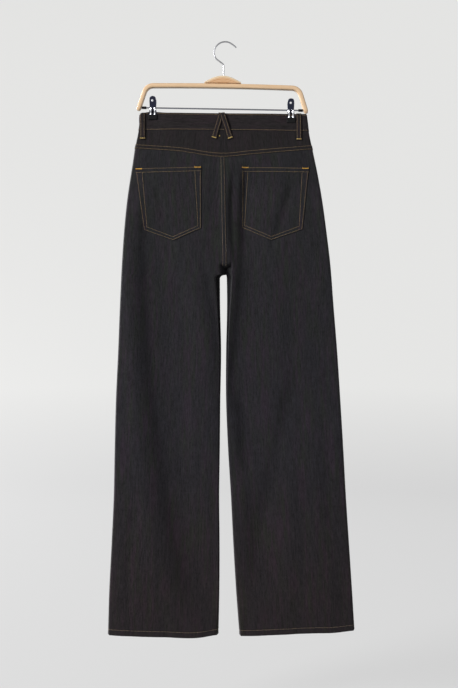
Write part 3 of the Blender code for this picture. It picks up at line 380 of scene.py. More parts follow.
def bare_point(half, around, height):
    """X, Y, Z of the surface, without a lift."""
    outer, inner = edges_at(half, height)
    width = np.abs(inner - outer)
    fold, turn = OUTER_FOLD(height), INNER_TURN(height)
    inset = inset_of(around, width, fold, turn)
    across = outer - half * inset
    share = inset / swell_width(half, height)
    back = around > 0
    joined = joined_at(1 - inset / width, height, back)
    outer_round = quarter_round(inset / fold)
    inner_round = quarter_round((width - inset) / turn)
    lip = ease((height - LIP_FROM) / LIP_RUN) * back
    inner_round += lip * (lipped((width - inset) / turn) - inner_round)
    depth = np.where(back, PLY_DEPTH[BACK](height), PLY_DEPTH[FRONT](height)) * SETTLED
    side = SIDE_BULGE[half] * depth
    leg = side * outer_round + (depth - side) * (1 - np.abs(2 * share - 1) ** LEG_SQUARE)
    leg = leg * inner_round
    torso = side * outer_round + (depth - side) * (1 - np.abs(1 - share) ** SEAT_SQUARE)
    swell = leg + (torso - leg) * joined
    pressed = ease((height - PRESS_FROM) / PRESS_RUN)
    for clip in CLIPS.values():
        near = bump_of((across - clip.across * MM) / CLIP_REACH)
        swell = swell * (1 - CLIP_PINCH * pressed * near)
    flat = quarter_round(inset / (3 * fold))
    flat = flat * (joined + (1 - joined) * quarter_round((width - inset) / (2.5 * turn)))
    folds = np.where(back, fold_height(BACK, across, height), fold_height(FRONT, across, height))
    swell = swell + flat * folds
    return np.stack([across, np.where(back, -swell, swell), height], axis=-1)


def across_at(half, around, height):
    """X of a place along a half."""
    around, height = np.broadcast_arrays(np.asarray(around, float), height)
    return bare_point(half, around, height)[..., 0]


def unit(vectors):
    return vectors / np.linalg.norm(vectors, axis=-1, keepdims=True)


def cloth(half, around, height, lift=0.0):
    """Points of the surface, moved out along its normal by `lift`."""
    around, height = np.broadcast_arrays(np.asarray(around, float), np.asarray(height, float))
    step, rise = 1e-3, 0.2 * MM
    ahead = bare_point(half, np.clip(around + step, -1, 1), height)
    behind = bare_point(half, np.clip(around - step, -1, 1), height)
    above = bare_point(half, around, height + rise)
    below = bare_point(half, around, height - rise)
    normal = unit(np.cross(ahead - behind, above - below) * -half)
    at = bare_point(half, around, height)
    from_seam = np.abs(at[..., 0] - CENTRE(height))
    closed = (height > CROTCH_HEIGHT) * ease(1 - from_seam / SEAM_REACH)
    normal[..., 0] *= 1 - closed
    normal[..., 1] -= SEAM_LEAN * closed * np.sign(around)
    normal = unit(normal)
    lift = np.broadcast_to(np.asarray(lift, float), around.shape)
    return at + normal * lift[..., None]


def on_ply(ply, across, height, lift):
    """Points over a ply at these X and Z, on whichever half they lie."""
    left = cloth(LEFT, ply * around_at(LEFT, across, height), height, lift)
    right = cloth(RIGHT, ply * around_at(RIGHT, across, height), height, lift)
    return np.where((across < CENTRE(height))[..., None], left, right)


def line_height(table, half, around, level):
    """Height of a seam or edge at a place along a half."""
    across = across_at(half, around, level)
    back, front = column(table, "back", "across"), column(table, "front", "across")
    return np.where(around > 0, back(across), front(across))


seat = bare_point(LEFT, np.array(0.6), np.array(-0.35))
print("a point of the seat:", [round(float(x), 4) for x in seat])

# %% [markdown]
# ## Writing node trees as sums
# Materials and Geometry Nodes are both graphs. `Wire` wraps a socket so that sums and products of
# sockets can be written as in arithmetic, and `Tree.node` makes any other node from its type, its
# settings and its inputs. The same two serve every finish and every row of stitches below.

# %% Wire and Tree
class Wire:
    """An output socket that can stand in a sum."""

    def __init__(self, tree, socket):
        self.tree, self.socket = tree, socket

    def math(self, operation, *others):
        values = dict(enumerate((self,) + others))
        return self.tree.node("ShaderNodeMath", {"operation": operation}, values)

    def clipped(self):
        """Kept between 0 and 1."""
        return self.math("MINIMUM", 1).math("MAXIMUM", 0)

    def other(self, output):
        """Another output of the same node."""
        return Wire(self.tree, self.socket.node.outputs[output])

    def __add__(self, value):
        return self.math("ADD", value)

    def __mul__(self, value):
        return self.math("MULTIPLY", value)

    def __sub__(self, value):
        return self.math("SUBTRACT", value)

    def __rsub__(self, value):
        return self * -1 + value

    __radd__, __rmul__ = __add__, __mul__


class Tree:
    """A node tree that is written from Python."""

    def __init__(self, nodes_and_links):
        self.made = nodes_and_links

    def node(self, kind, settings=None, values=None, output=0):
        node = self.made.nodes.new(kind)
        for key, value in (settings or {}).items():
            if key == "stops":
                while len(node.color_ramp.elements) < len(value):
                    node.color_ramp.elements.new(0.5)
                for element, (place, colour) in zip(node.color_ramp.elements, value):
                    element.position, element.color = place, (*colour, 1)
            else:
                setattr(node, key, value)
        for key, value in (values or {}).items():
            if isinstance(value, Wire):
                self.made.links.new(value.socket, node.inputs[key])
            else:
                node.inputs[key].default_value = value
        return Wire(self, node.outputs[output]) if len(node.outputs) else None


class Finish(Tree):
    """A material: uniform values on the shader, and what varies as wires."""

    def __init__(self, name, **surface):
        self.material = bpy.data.materials.new(name)
        self.material.use_nodes = True
        super().__init__(self.material.node_tree)
        self.shader = self.made.nodes["Principled BSDF"]
        for key, value in surface.items():
            self.shader.inputs[key.replace("_", " ")].default_value = value

    def feed(self, socket, wire):
        self.made.links.new(wire.socket, self.shader.inputs[socket])

    def split(self, vector):
        """X of a vector. Y and Z are the other outputs, 1 and 2."""
        return self.node("ShaderNodeSeparateXYZ", None, {0: vector})

    def flat_place(self):
        """Place on the uncut cloth or board, in metres, from the piece's own UV map."""
        across = self.split(self.node("ShaderNodeUVMap", {"uv_map": "Flat"}))
        return across, across.other(1)

    def place(self):
        """Place in the object, in metres."""
        return self.node("ShaderNodeTexCoord", output=3)

    def speckle(self, scale, detail):
        """Noise from 0 to 1, the same every way."""
        values = {"Vector": self.place(), "Scale": scale, "Detail": detail}
        return self.node("ShaderNodeTexNoise", None, values)

    def grain(self, across, along, width, length, shift=0.0, detail=2.0):
        """Noise from 0 to 1, drawn out along the grain."""
        place = {0: across * (1 / width) + shift, 1: along * (1 / length)}
        place = self.node("ShaderNodeCombineXYZ", None, place)
        values = {"Vector": place, "Detail": detail, "Scale": 1}
        return self.node("ShaderNodeTexNoise", {"noise_dimensions": "2D"}, values)

    def blend(self, factor, first, second):
        """A colour between two colours or colour wires."""
        values = {0: factor, 6: self.colour(first), 7: self.colour(second)}
        return self.node("ShaderNodeMix", {"data_type": "RGBA"}, values, 2)

    def colour(self, value):
        return value if isinstance(value, Wire) else (*value, 1)

    def scaled(self, colour, amount):
        return self.node("ShaderNodeVectorMath", {"operation": "SCALE"}, {0: colour, 3: amount})

    def bump(self, height, strength, distance):
        values = {"Strength": strength, "Distance": distance, "Height": height}
        self.feed("Normal", self.node("ShaderNodeBump", None, values))


print("node writers ready")

# %% [markdown]
# ## Raw denim
# Unwashed denim is a twill. Dark warp threads run along the leg and vary in thickness, which gives
# the fine streaks down the cloth, and the weft shows as small flecks on the slant of the twill. The
# pattern reads the place on the flat cloth, so that it follows each panel round its folds. A broad,
# faint drift between a plum and a green black keeps the large panels from looking painted.

# %% Denim, outside and inside
TWILL_ACROSS, TWILL_ALONG = 0.85 * MM, 1.5 * MM
BODY_CASTS = [
    (0.08, (1.02, 0.86, 0.84)), (0.37, (0.97, 0.97, 1.06)), (0.62, (0.93, 0.96, 1.02)),
    (0.80, (0.93, 0.99, 0.99)),
]


def denim(name, plum, plain, green, fleck, casts=BODY_CASTS):
    finish = Finish(name, Roughness=0.88, Specular_IOR_Level=0.14, Sheen_Weight=0.08,
                    Sheen_Roughness=0.45)
    across, along = finish.flat_place()
    wide = finish.grain(across, along, 26 * MM, 130 * MM)
    slub = finish.grain(across, along, 3.2 * MM, 46 * MM, 3.7)
    yarn = finish.grain(across, along, 2.3 * MM, 14 * MM, 9.1)
    nep = finish.grain(across, along, 2.1 * MM, 4.2 * MM, 23.9, 3.0)
    hue = finish.grain(across, along, 9.0 * MM, 85 * MM, 17.3)
    tint = finish.blend((hue * 5.0 - 2.0).clipped(), green, plum)
    tint = finish.blend((wide * 3.2 - 1.1).clipped(), plain, tint)
    rise = finish.split(finish.place()).other(2)
    cast = finish.node("ShaderNodeValToRGB", {"stops": casts}, {0: rise * 0.9 + 1.12})
    tint = finish.node("ShaderNodeVectorMath", {"operation": "MULTIPLY"}, {0: tint, 1: cast})
    tone = (wide * 0.30 + slub * 0.95 + yarn * 1.25 + nep * 0.95 - 0.80).math("MAXIMUM", 0.2)
    slant = across * (1 / TWILL_ACROSS) + along * (1 / TWILL_ALONG)
    wave = (slant * (2 * math.pi)).math("SINE")
    crossing = (across * (math.pi / TWILL_ACROSS * 1.9)).math("SINE")
    flecks = (wave * 1.6 - 0.9).math("MAXIMUM", 0) * (crossing * 0.5 + 0.5)
    cloth_colour = finish.scaled(tint, tone)
    finish.feed("Base Color", finish.blend(flecks, cloth_colour, fleck))
    finish.bump(wave * 0.35 + yarn * 0.9 + nep * 0.6 + slub * 0.5, 0.4, 0.15 * MM)
    return finish.material


def even_cast(colour):
    """One cast for the whole height."""
    return [(0.0, colour), (1.0, colour)]


RAW_DENIM = denim("Raw denim", (0.0215, 0.0155, 0.0215), (0.0165, 0.0155, 0.0185),
                  (0.0155, 0.0165, 0.0145), (0.040, 0.037, 0.036))
DENIM_INSIDE = denim("Inside of the denim", (0.052, 0.049, 0.054), (0.048, 0.047, 0.050),
                     (0.046, 0.047, 0.045), (0.085, 0.083, 0.082))
WARM = ((0.0205, 0.0148, 0.0170), (0.0165, 0.0145, 0.0150), (0.0150, 0.0142, 0.0125))
YOKE_DENIM = denim("Yoke denim", *WARM, (0.036, 0.032, 0.030), even_cast((0.80, 0.78, 0.83)))
BAND_DENIM = denim("Waistband denim", *WARM, (0.042, 0.036, 0.034), even_cast((0.95, 0.88, 0.95)))
print("denim finishes:", RAW_DENIM.name, YOKE_DENIM.name, BAND_DENIM.name, DENIM_INSIDE.name)

# %% [markdown]
# ## A cloth wall
# Every cloth piece is one closed wall between an outer and an inner grid of points. Its edges are
# rounded off by bringing both sides together there, as a folded or rolled edge does. The UV map
# `Flat` holds each point's place on the flat cloth, measured along the grid itself.

# %% Closed walls from two grids
EDGE_SHARE = 0.06


def linked(name, data):
    """A new object in the scene."""
    obj = bpy.data.objects.new(name, data)
    bpy.context.scene.collection.objects.link(obj)
    return obj


def mesh_object(name, points, faces, flat, finishes, finish_of_face=None, sharp=50):
    """A mesh piece whose faces point outwards, with its flat place as a UV map.

    Each face has four corners, and one that names a corner twice is a triangle.
    """
    first, second, third = (points[faces[:, i]] for i in range(3))
    last = points[faces[:, -1]]
    signed = (first * np.cross(second, third)).sum() + (first * np.cross(third, last)).sum()
    if signed < 0:
        faces = faces[:, ::-1]
    mesh = bpy.data.meshes.new(name)
    mesh.from_pydata(points.tolist(), [], [list(dict.fromkeys(face)) for face in faces.tolist()])
    layer = mesh.uv_layers.new(name="Flat")
    corner = np.empty(len(mesh.loops), int)
    mesh.loops.foreach_get("vertex_index", corner)
    layer.data.foreach_set("uv", np.asarray(flat, np.float32)[corner].ravel())
    for finish in finishes:
        mesh.materials.append(finish)
    if finish_of_face is not None:
        mesh.polygons.foreach_set("material_index", np.asarray(finish_of_face, np.int32))
    mesh.validate()
    mesh.shade_smooth()
    mesh.set_sharp_from_angle(angle=math.radians(sharp))
    return linked(name, mesh)


def grid_faces(rows, columns):
    """Quads of a grid of points that is numbered row by row."""
    row, col = np.meshgrid(np.arange(rows - 1), np.arange(columns - 1), indexing="ij")
    corner = (row * columns + col).ravel()
    return np.stack([corner, corner + 1, corner + columns + 1, corner + columns], axis=1)


def wall(name, outer, inner, flat, finishes=(RAW_DENIM, DENIM_INSIDE)):
    """A closed wall between two grids of points. `flat` is a grid of places on the flat cloth."""
    rows, columns = outer.shape[:2]
    count = rows * columns
    front = grid_faces(rows, columns)
    rim = np.concatenate([
        np.arange(columns - 1),
        np.arange(rows - 1) * columns + columns - 1,
        count - 1 - np.arange(columns - 1),
        (rows - 1 - np.arange(rows - 1)) * columns,
    ])
    following = np.roll(rim, -1)
    sides = np.stack([following, rim, rim + count, following + count], axis=1)
    faces = np.concatenate([front, front[:, ::-1] + count, sides])
    points = np.concatenate([outer.reshape(-1, 3), inner.reshape(-1, 3)])
    inside = np.zeros(len(faces), int)
    if len(finishes) > 1:
        inside[len(front):2 * len(front)] = 1
    both = np.concatenate([flat.reshape(-1, 2)] * 2)
    return mesh_object(name, points, faces, both, finishes, inside)


def run_lengths(points, axis):
    """Distance along a grid of points, from its first row or column."""
    steps = np.linalg.norm(np.diff(points, axis=axis), axis=-1)
    start = np.zeros_like(np.take(steps, [0], axis=axis))
    return np.cumsum(np.concatenate([start, steps], axis=axis), axis=axis)


def flat_of(points, turned=False):
    """Place on the flat cloth: from the middle across, and from the first row along the grain."""
    across, along = run_lengths(points, 1), run_lengths(points, 0)
    across = across - across[:, across.shape[1] // 2][:, None]
    along = np.broadcast_to(along[:, along.shape[1] // 2][:, None], along.shape)
    return np.stack([along, across] if turned else [across, along], axis=-1)


def edge_distance(points, sides="lrtb"):
    """Distance to the nearest of the named edges: first and last column, first and last row."""
    across, along = run_lengths(points, 1), run_lengths(points, 0)
    from_edge = {"l": across, "r": across[:, -1:] - across, "t": along, "b": along[-1:] - along}
    return np.minimum.reduce([from_edge[side] for side in sides])


def edge_lines(length, spacing, edge=0.6 * MM):
    """Shares of a length: close lines at both ends, for a rounded edge, and even ones between."""
    close = edge * np.array([0, 0.12, 0.45, 1.0, 1.9])
    middle = np.linspace(close[-1], length - close[-1], max(3, int(length / spacing)))
    return np.concatenate([close, middle[1:-1], length - close[::-1]]) / length


def rounded_wall(name, place, low, high, swell=0.0, turned=False, **more):
    """A wall from place(lift), between two lifts, whose edges are rounded off."""
    bare = place(0.0)
    middle, half_cloth = (low + high) / 2, (high - low) / 2
    near = quarter_round(edge_distance(bare) / half_cloth)
    near = EDGE_SHARE + (1 - EDGE_SHARE) * near
    outer = place(middle + half_cloth * near + swell)
    inner = place(middle - half_cloth * near)
    return wall(name, outer, inner, flat_of(bare, turned), **more)


print("wall tools ready")


def hard_piece(obj, nodes):
    """Ride the body and replace the plain solids."""
    if nodes:
        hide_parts(*nodes)
    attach(obj, "root")
    return obj


def cloth_piece(obj, nodes):
    """The same for a sheet of cloth."""
    hard_piece(obj, nodes)


# %% [markdown]
# ## Leg panels
# Each leg is a back and a front panel, joined at the side and inside the leg. Where two panels are
# felled together, the upper one is a little thicker for the width of the seam, which `welt` gives.
# The hem is turned up twice, and sewing through its layers twists it into slanting ripples.

# %% Back and front panels
WELT_WIDTH, WELT_RISE, WELT_SLOPE = 9.0 * MM, 0.8 * MM, 2.2 * MM
WELT_END, WELT_FADE = 6 * MM, 22 * MM
LEG_ROWS, SEAT_ROWS = 120, 44
RIM_STEP = 0.006
HEM_FLOW, TOP_FLOW = 120 * MM, 110 * MM
HEM_STEP, HEM_DENT, HEM_DENT_WIDTH = 0.8 * MM, 0.22 * MM, 0.9 * MM
# Lengths of a ripple: of the sewn hem, across it and up it, and beside a tight seam.
ROPE_ACROSS, ROPE_UP, ROPE_DRIFT, ROPE_HEIGHT = 13 * MM, 17 * MM, 31 * MM, 0.30 * MM
ROPE_TOP, ROPE_FADE = 16.5 * MM, 5 * MM
PUCKER_LENGTH, PUCKER_WANDER, PUCKER_DRIFT, PUCKER_HEIGHT = 12 * MM, 29 * MM, 43 * MM, 0.42 * MM
PANEL_PUCKER, SEAT_PUCKER, YOKE_PUCKER = 16 * MM, 20 * MM, 22 * MM
# The two legs' ripples beside the centre seam are lower, and stand this far apart.
SEAT_PUCKER_SHARE, SEAT_PUCKER_SHIFT = 0.8, 7 * MM


def welt(distance):
    """Extra thickness of a felled seam, by distance from its edge."""
    return WELT_RISE * (1 - ease((distance - WELT_WIDTH) / WELT_SLOPE))


def seat_welt(distance, height):
    """The centre seam's welt, which runs out above the crotch."""
    return welt(distance) * ease((height - CROTCH_HEIGHT - WELT_END) / WELT_FADE)


def half_columns(rounded, middle):
    """Steps along a half from its outer fold to its inner edge, closer in the rounded parts."""
    first = np.linspace(0, FOLD_SHARE, rounded)
    flat = np.linspace(FOLD_SHARE, 1 - FOLD_SHARE, middle)
    return np.concatenate([first, flat[1:], 1 - first[-2::-1]])


def seam_half_gap(height):
    """SEAM_GAP as a step of `around`, at a rounded fold."""
    return SEAM_GAP / (SIDE_BULGE[LEFT] * PLY_DEPTH[FRONT](height) / FOLD_SHARE)


def ply_columns(ply, rounded=12, middle=34):
    """Steps of a panel: back panels come round the fold to the side seam on the front ply."""
    steps = half_columns(rounded, middle)
    if ply == BACK:
        behind = np.linspace(-SIDE_SEAM, 0, 9)[:-1]
        steps = np.concatenate([behind[:1], behind[:1] + RIM_STEP, behind[1:], steps])
    else:
        steps = steps[steps > SIDE_SEAM + RIM_STEP]
        steps = -np.concatenate([[SIDE_SEAM, SIDE_SEAM + RIM_STEP], steps])
    return np.concatenate([steps[:-1], [steps[-1] - RIM_STEP * ply], steps[-1:]])


def panel_levels(top):
    """Row heights of a leg panel from hem to top, close at the hem, the crotch and the top."""
    hem = np.array([0, 0.2, 0.7, 1.4, 2.6, 4.4, 6.6, 9, 10.8, 11.8, 12.8, 14, 15.5, 18.5])
    hem = HEM_LEVEL + hem * MM
    above = np.array([30, 27.5, 25, 22.5, 20, 18, 16, 14.5, 13, 11.5, 10, 8, 6, 4, 2, 0.8, 0])
    below = np.array([0.05, 0.3, 0.8, 1.6, 2.8, 4.4, 6.5, 9, 12, 15, 18, 22, 26])
    crotch = CROTCH_HEIGHT + np.concatenate([-below[::-1], above[::-1]]) * MM
    leg = np.linspace(hem[-1], crotch[0], LEG_ROWS)[1:-1]
    seat = np.linspace(crotch[-1], top, SEAT_ROWS)[1:-1]
    return np.concatenate([hem, leg, crotch, seat, top - np.array([1.0, 0.3, 0]) * MM])


def hem_roping(flat_across, above_hem):
    """Slanting ripples that a sewn double hem twists into."""
    ripples = np.sin(2 * math.pi * (flat_across / ROPE_ACROSS + above_hem / ROPE_UP))
    ripples = ripples * (0.75 + 0.25 * np.sin(flat_across / ROPE_DRIFT))
    return ROPE_HEIGHT * ripples * ease((ROPE_TOP - above_hem) / ROPE_FADE)


def pucker(along, from_seam, reach=PANEL_PUCKER):
    """Small uneven ripples that a tight seam draws into the cloth beside it."""
    ripples = np.sin(2 * math.pi * along / PUCKER_LENGTH + 2.2 * np.sin(along / PUCKER_WANDER))
    ripples = ripples * (0.55 + 0.45 * np.sin(along / PUCKER_DRIFT + 1.3))
    return PUCKER_HEIGHT * ripples * bump_of(from_seam / reach)


def leg_panel(name, half, ply):
    table, top = (YOKE_SEAM, YOKE_LEVEL) if ply == BACK else (BAND_SEAM, FRONT_LEVEL)
    levels = panel_levels(top)
    around = np.repeat(ply_columns(ply)[None, :], len(levels), axis=0)
    level = np.repeat(levels[:, None], around.shape[1], axis=1)
    small = seam_half_gap(level)
    around[:, 0] += ply * small[:, 0]
    around[:, -1] -= ply * small[:, -1]
    hem_line = line_height(HEM, half, around, HEM_LEVEL)
    top_line = line_height(table, half, around, YOKE_LEVEL if ply == BACK else BAND_LEVEL)
    above_hem = level - HEM_LEVEL
    height = level + (hem_line - HEM_LEVEL) * np.clip(1 - above_hem / HEM_FLOW, 0, 1)
    height += (top_line - SEAM_GAP - top) * np.clip(1 - (top - level) / TOP_FLOW, 0, 1)
    in_hem = 1 - ease((above_hem - HEM_HEIGHT) / HEM_STEP)
    low = -(DENIM + (HEM_CLOTH - DENIM) * in_hem)
    bare = bare_point(half, around, height)
    swell = hem_roping(run_lengths(bare, 1), above_hem)
    swell -= HEM_DENT * bump_of((above_hem - HEM_STITCH) / HEM_DENT_WIDTH)
    if ply == BACK:
        from_seam = edge_distance(bare, "r")
        swell += pucker(run_lengths(bare, 1), edge_distance(bare, "b"))
        drawn = pucker(height + half * SEAT_PUCKER_SHIFT, from_seam, SEAT_PUCKER)
        swell += SEAT_PUCKER_SHARE * drawn * (height > CROTCH_HEIGHT)
        swell += seat_welt(from_seam, level) * (half == LEFT)
    return rounded_wall(name, lambda lift: cloth(half, around, height, lift), low, 0, swell)


legs = {}
for side, ply in PLIES.items():
    for word, half in HALVES.items():
        legs[side, word] = leg_panel(f"{side}_leg_{word}", half, ply)
        print(side, word, "panel:", len(legs[side, word].data.polygons), "faces")

# %% [markdown]
# ## Scooped pocket openings
# The front pockets open in a curve at the corner of waistband and side seam. A Boolean with an
# elliptical bar makes that curve crisp, where a grid of quads would make it a staircase. Only the
# front panel is cut, so the facing behind it shows.

# %% Cut the scoops
SCOOP_WIDTH, SCOOP_HEIGHT, SCOOP_REACH = 80 * MM, 72 * MM, 60 * MM
SCOOP_LEVEL = BAND_LEVEL + 2 * MM


def scoop_corner(half):
    """X of the corner between waistband and side seam."""
    return float(across_at(half, -SIDE_SEAM, BAND_LEVEL))


def settle(obj):
    """Turn what the modifiers show into the piece's own mesh."""
    graph = bpy.context.evaluated_depsgraph_get()
    mesh = bpy.data.meshes.new_from_object(obj.evaluated_get(graph), depsgraph=graph)
    obj.modifiers.clear()
    obj.data = mesh


def cut_scoop(panel, half):
    """Cut with an exact Boolean, and once more with more care where that leaves too little."""
    shape = bmesh.new()
    bmesh.ops.create_cone(
        shape, cap_ends=True, segments=128, radius1=1, radius2=1, depth=SCOOP_REACH,
        matrix=Matrix.Rotation(math.radians(90), 4, "X"),
    )
    for vert in shape.verts:
        vert.co.x = scoop_corner(half) + vert.co.x * SCOOP_WIDTH
        vert.co.z = SCOOP_LEVEL + vert.co.z * SCOOP_HEIGHT
        vert.co.y += SCOOP_REACH / 2
    bmesh.ops.recalc_face_normals(shape, faces=shape.faces[:])
    mesh = bpy.data.meshes.new("scoop_bar")
    shape.to_mesh(mesh)
    shape.free()
    mesh.materials.append(RAW_DENIM)
    bar = linked("scoop_bar", mesh)
    whole = panel.data
    for careful in (False, True):
        modifier = panel.modifiers.new("Scoop", "BOOLEAN")
        modifier.operation, modifier.solver, modifier.object = "DIFFERENCE", "EXACT", bar
        modifier.use_self = careful
        settle(panel)
        if len(panel.data.polygons) > len(whole.polygons) / 2:
            break
        panel.data = whole
    bpy.data.objects.remove(bar)


for word, half in HALVES.items():
    cut_scoop(legs["front", word], half)
    print("front", word, "panel after its scoop:", len(legs["front", word].data.polygons), "faces")
for (side, word), obj in legs.items():
    cloth_piece(obj, [f"{side}_panel_{word}"])

# %% [markdown]
# ## Yoke
# The yoke is the shaped strip between waistband and back panels that gives the seat its curve. It
# laps over the panels in a felled seam, so its lower edge stands a little proud.

# %% Left and right yoke
def yoke(name, half):
    """A patch between the yoke's and the band's seam lines; `rows` are shares of its height."""
    rows = np.concatenate([np.array([0, 0.1, 0.4, 0.9, 2, 4, 6, 8, 9.5, 11, 13]) / 38,
                           np.linspace(0.42, 0.97, 10), [0.99, 1.0]])
    around = np.repeat(ply_columns(BACK, 9, 40)[None, :], len(rows), axis=0)
    around[:, 0] += seam_half_gap(BAND_LEVEL)
    low = line_height(YOKE_SEAM, half, around, YOKE_LEVEL) + SEAM_GAP
    high = line_height(BAND_SEAM, half, around, BAND_LEVEL) - SEAM_GAP
    height = low + (high - low) * rows[:, None]
    bare = bare_point(half, around, height)
    from_seam = edge_distance(bare, "t")
    swell = welt(from_seam) + pucker(run_lengths(bare, 1), from_seam, YOKE_PUCKER)
    return rounded_wall(name, lambda lift: cloth(half, around, height, lift), -DENIM, 0, swell,
                        finishes=(YOKE_DENIM, DENIM_INSIDE))


for word, half in HALVES.items():
    cloth_piece(yoke(f"yoke_cloth_{word}", half), [f"yoke_{word}"])
print("yokes made")

# %% [markdown]
# ## Waistband
# One long strip, folded along its top edge, runs round the waist and under its own start at the
# centre front. Its warp runs along its length, so its streaks lie level.

# %% One strip for the whole waist
BAND_HEIGHT, BAND_SPACING, BAND_EDGE = 36 * MM, 2.6 * MM, 1.4 * MM


def waistband():
    """Once round from the centre front, over the back, and on under its own start."""
    steps = ply_columns(FRONT, 9, 40)[::-1]
    fold = np.linspace(-SIDE_SEAM, 0, 7)[1:]
    half_way = np.concatenate([steps[:-2], fold[:-1]])
    back = half_columns(9, 40)
    under = UNDER_LAP * np.concatenate([np.linspace(0.04, 0.97, 14), [0.99, 1]])
    under = -around_at(LEFT, CENTRE(BAND_LEVEL) - under, BAND_LEVEL)
    left = np.concatenate([half_way, back])
    right = np.concatenate([back[::-1][1:], half_way[::-1]])
    half_of = np.concatenate([np.full(len(left), LEFT), np.full(len(right), RIGHT),
                              np.full(len(under), LEFT)])
    around = np.concatenate([left, right, under])
    behind = -(BAND_PROUD + BAND_INSIDE + LAY_GAP)
    to_centre = across_at(RIGHT, around, BAND_LEVEL) - CENTRE(BAND_LEVEL)
    lifts = behind * ease((LAP_START - to_centre) / LAP_STEP)
    lifts = np.where((half_of == RIGHT) & (around < 0), lifts, 0)
    lifts[-len(under):] = behind
    shares = edge_lines(BAND_HEIGHT, BAND_SPACING, BAND_EDGE)[:, None]

    def place(lift):
        lift = np.broadcast_to(lift, (len(shares), len(around))) + lifts
        points = np.empty((len(shares), len(around), 3))
        for half in (LEFT, RIGHT):
            mine = half_of == half
            low = line_height(BAND_SEAM, half, around[mine], BAND_LEVEL) + SEAM_GAP
            high = line_height(BAND_TOP, half, around[mine], TOP_LEVEL)
            height = low + (high - low) * shares
            at = np.broadcast_to(around[mine], height.shape)
            points[:, mine] = cloth(half, at, height, lift[:, mine])
        return points

    return rounded_wall("waistband_cloth", place, -BAND_INSIDE, BAND_PROUD, turned=True,
                        finishes=(BAND_DENIM,))


band_nodes = [f"waistband_{side}_{word}" for side in PLIES for word in HALVES]
cloth_piece(waistband(), band_nodes)
print("waistband made")

# %% [markdown]
# ## Pieces laid on the panels
# Pockets, belt loops, the fly, the facings and the zip tape are all grids of X and Z that are
# dropped on a ply. `patch` makes each of them, so they follow the same folds as what carries them.

# %% Patch pockets
def patch(name, ply, across, height, low, high, swell=0.0, finish=RAW_DENIM):
    """A wall on a ply, between two lifts."""
    place = lambda lift: on_ply(ply, across, height, lift)
    return rounded_wall(name, place, low, high, swell, finishes=(finish,))


TOP_HEM, TOP_HEM_RISE, TOP_HEM_SLOPE = 9 * MM, 0.5 * MM, 1.5 * MM
# Even sizes that the grid lines of a pocket are spaced for, and the lines near each side.
POCKET_WIDTH, POCKET_HEIGHT, POCKET_SPACING, SIDE_LINES = 60 * MM, 135 * MM, 3.6 * MM, 22
Pocket = namedtuple("Pocket", "top_in top_out side_in side_out point")
POCKETS = {
    "left": Pocket((-49.4, -260.5), (-185.4, -263.7), (-49.3, -388.7), (-168.8, -391.6),
                   (-107.4, -413.6)),
    "right": Pocket((34.1, -260.5), (173.0, -262.6), (34.0, -386.6), (160.2, -390.6),
                    (95.4, -413.1)),
}


def pocket_grid(pocket):
    """X and Z of a pocket's points: each column ends on one of the two slanting edges."""
    top_in, top_out, side_in, side_out, point = (np.array(corner) * MM for corner in pocket)
    to_point = (point[0] - side_in[0]) / (side_out[0] - side_in[0])
    rim = edge_lines(POCKET_WIDTH, 3.4 * MM)[:SIDE_LINES]
    inner, outer = rim * to_point, 1 - rim[::-1] * (1 - to_point)
    shares = np.concatenate([inner[:-1], np.linspace(inner[-1], to_point, 6),
                             np.linspace(to_point, outer[0], 6)[1:], outer[1:]])
    foot_x = side_in[0] + (side_out[0] - side_in[0]) * shares
    foot_z = np.interp(shares, [0, to_point, 1], [side_in[1], point[1], side_out[1]])
    down = edge_lines(POCKET_HEIGHT, POCKET_SPACING)[:, None]
    top = top_in[None, :] + (top_out - top_in)[None, :] * shares[:, None]
    across = top[:, 0] + (foot_x - top[:, 0]) * down
    height = top[:, 1] + (foot_z - top[:, 1]) * down
    return across, height


for word, pocket in POCKETS.items():
    across, height = pocket_grid(pocket)
    below_top = height.max(axis=0) - height
    top_hem = TOP_HEM_RISE * (1 - ease((below_top - TOP_HEM) / TOP_HEM_SLOPE))
    obj = patch(f"pocket_cloth_{word}", BACK, across, height, POCKET_LIFT,
                POCKET_LIFT + POCKET_CLOTH, top_hem)
    cloth_piece(obj, [f"back_pocket_{word}"])
    print("pocket", word, "points:", across.size)

# %% Belt loops
Loop = namedtuple("Loop", "ply top foot lift_top lift_foot")
LOOP_WIDTH, LOOP_LENGTH, LOOP_CLOTH = 10.6 * MM, 56 * MM, 1.5 * MM
LOOP_BOW, LOOP_OVER = 0.35 * MM, 0.6 * MM
LOOPS = {
    "back_left": Loop(BACK, (-171.2, -147.4), (-171.0, -203.6), 0.5, 0.2),
    "back_right": Loop(BACK, (152.6, -149.2), (153.0, -205.6), 0.5, 0.2),
    "cross_under": Loop(BACK, (-8.0, -148.2), (-23.6, -202.2), 0.4, 0.2),
    "cross_over": Loop(BACK, (-6.4, -148.2), (11.2, -203.0), 2.3, 0.2),
    "front_left": Loop(FRONT, (-96.0, -155.6), (-95.0, -211.0), 0.5, 0.2),
    "front_right": Loop(FRONT, (90.0, -158.4), (89.0, -213.6), 0.5, 0.2),
}


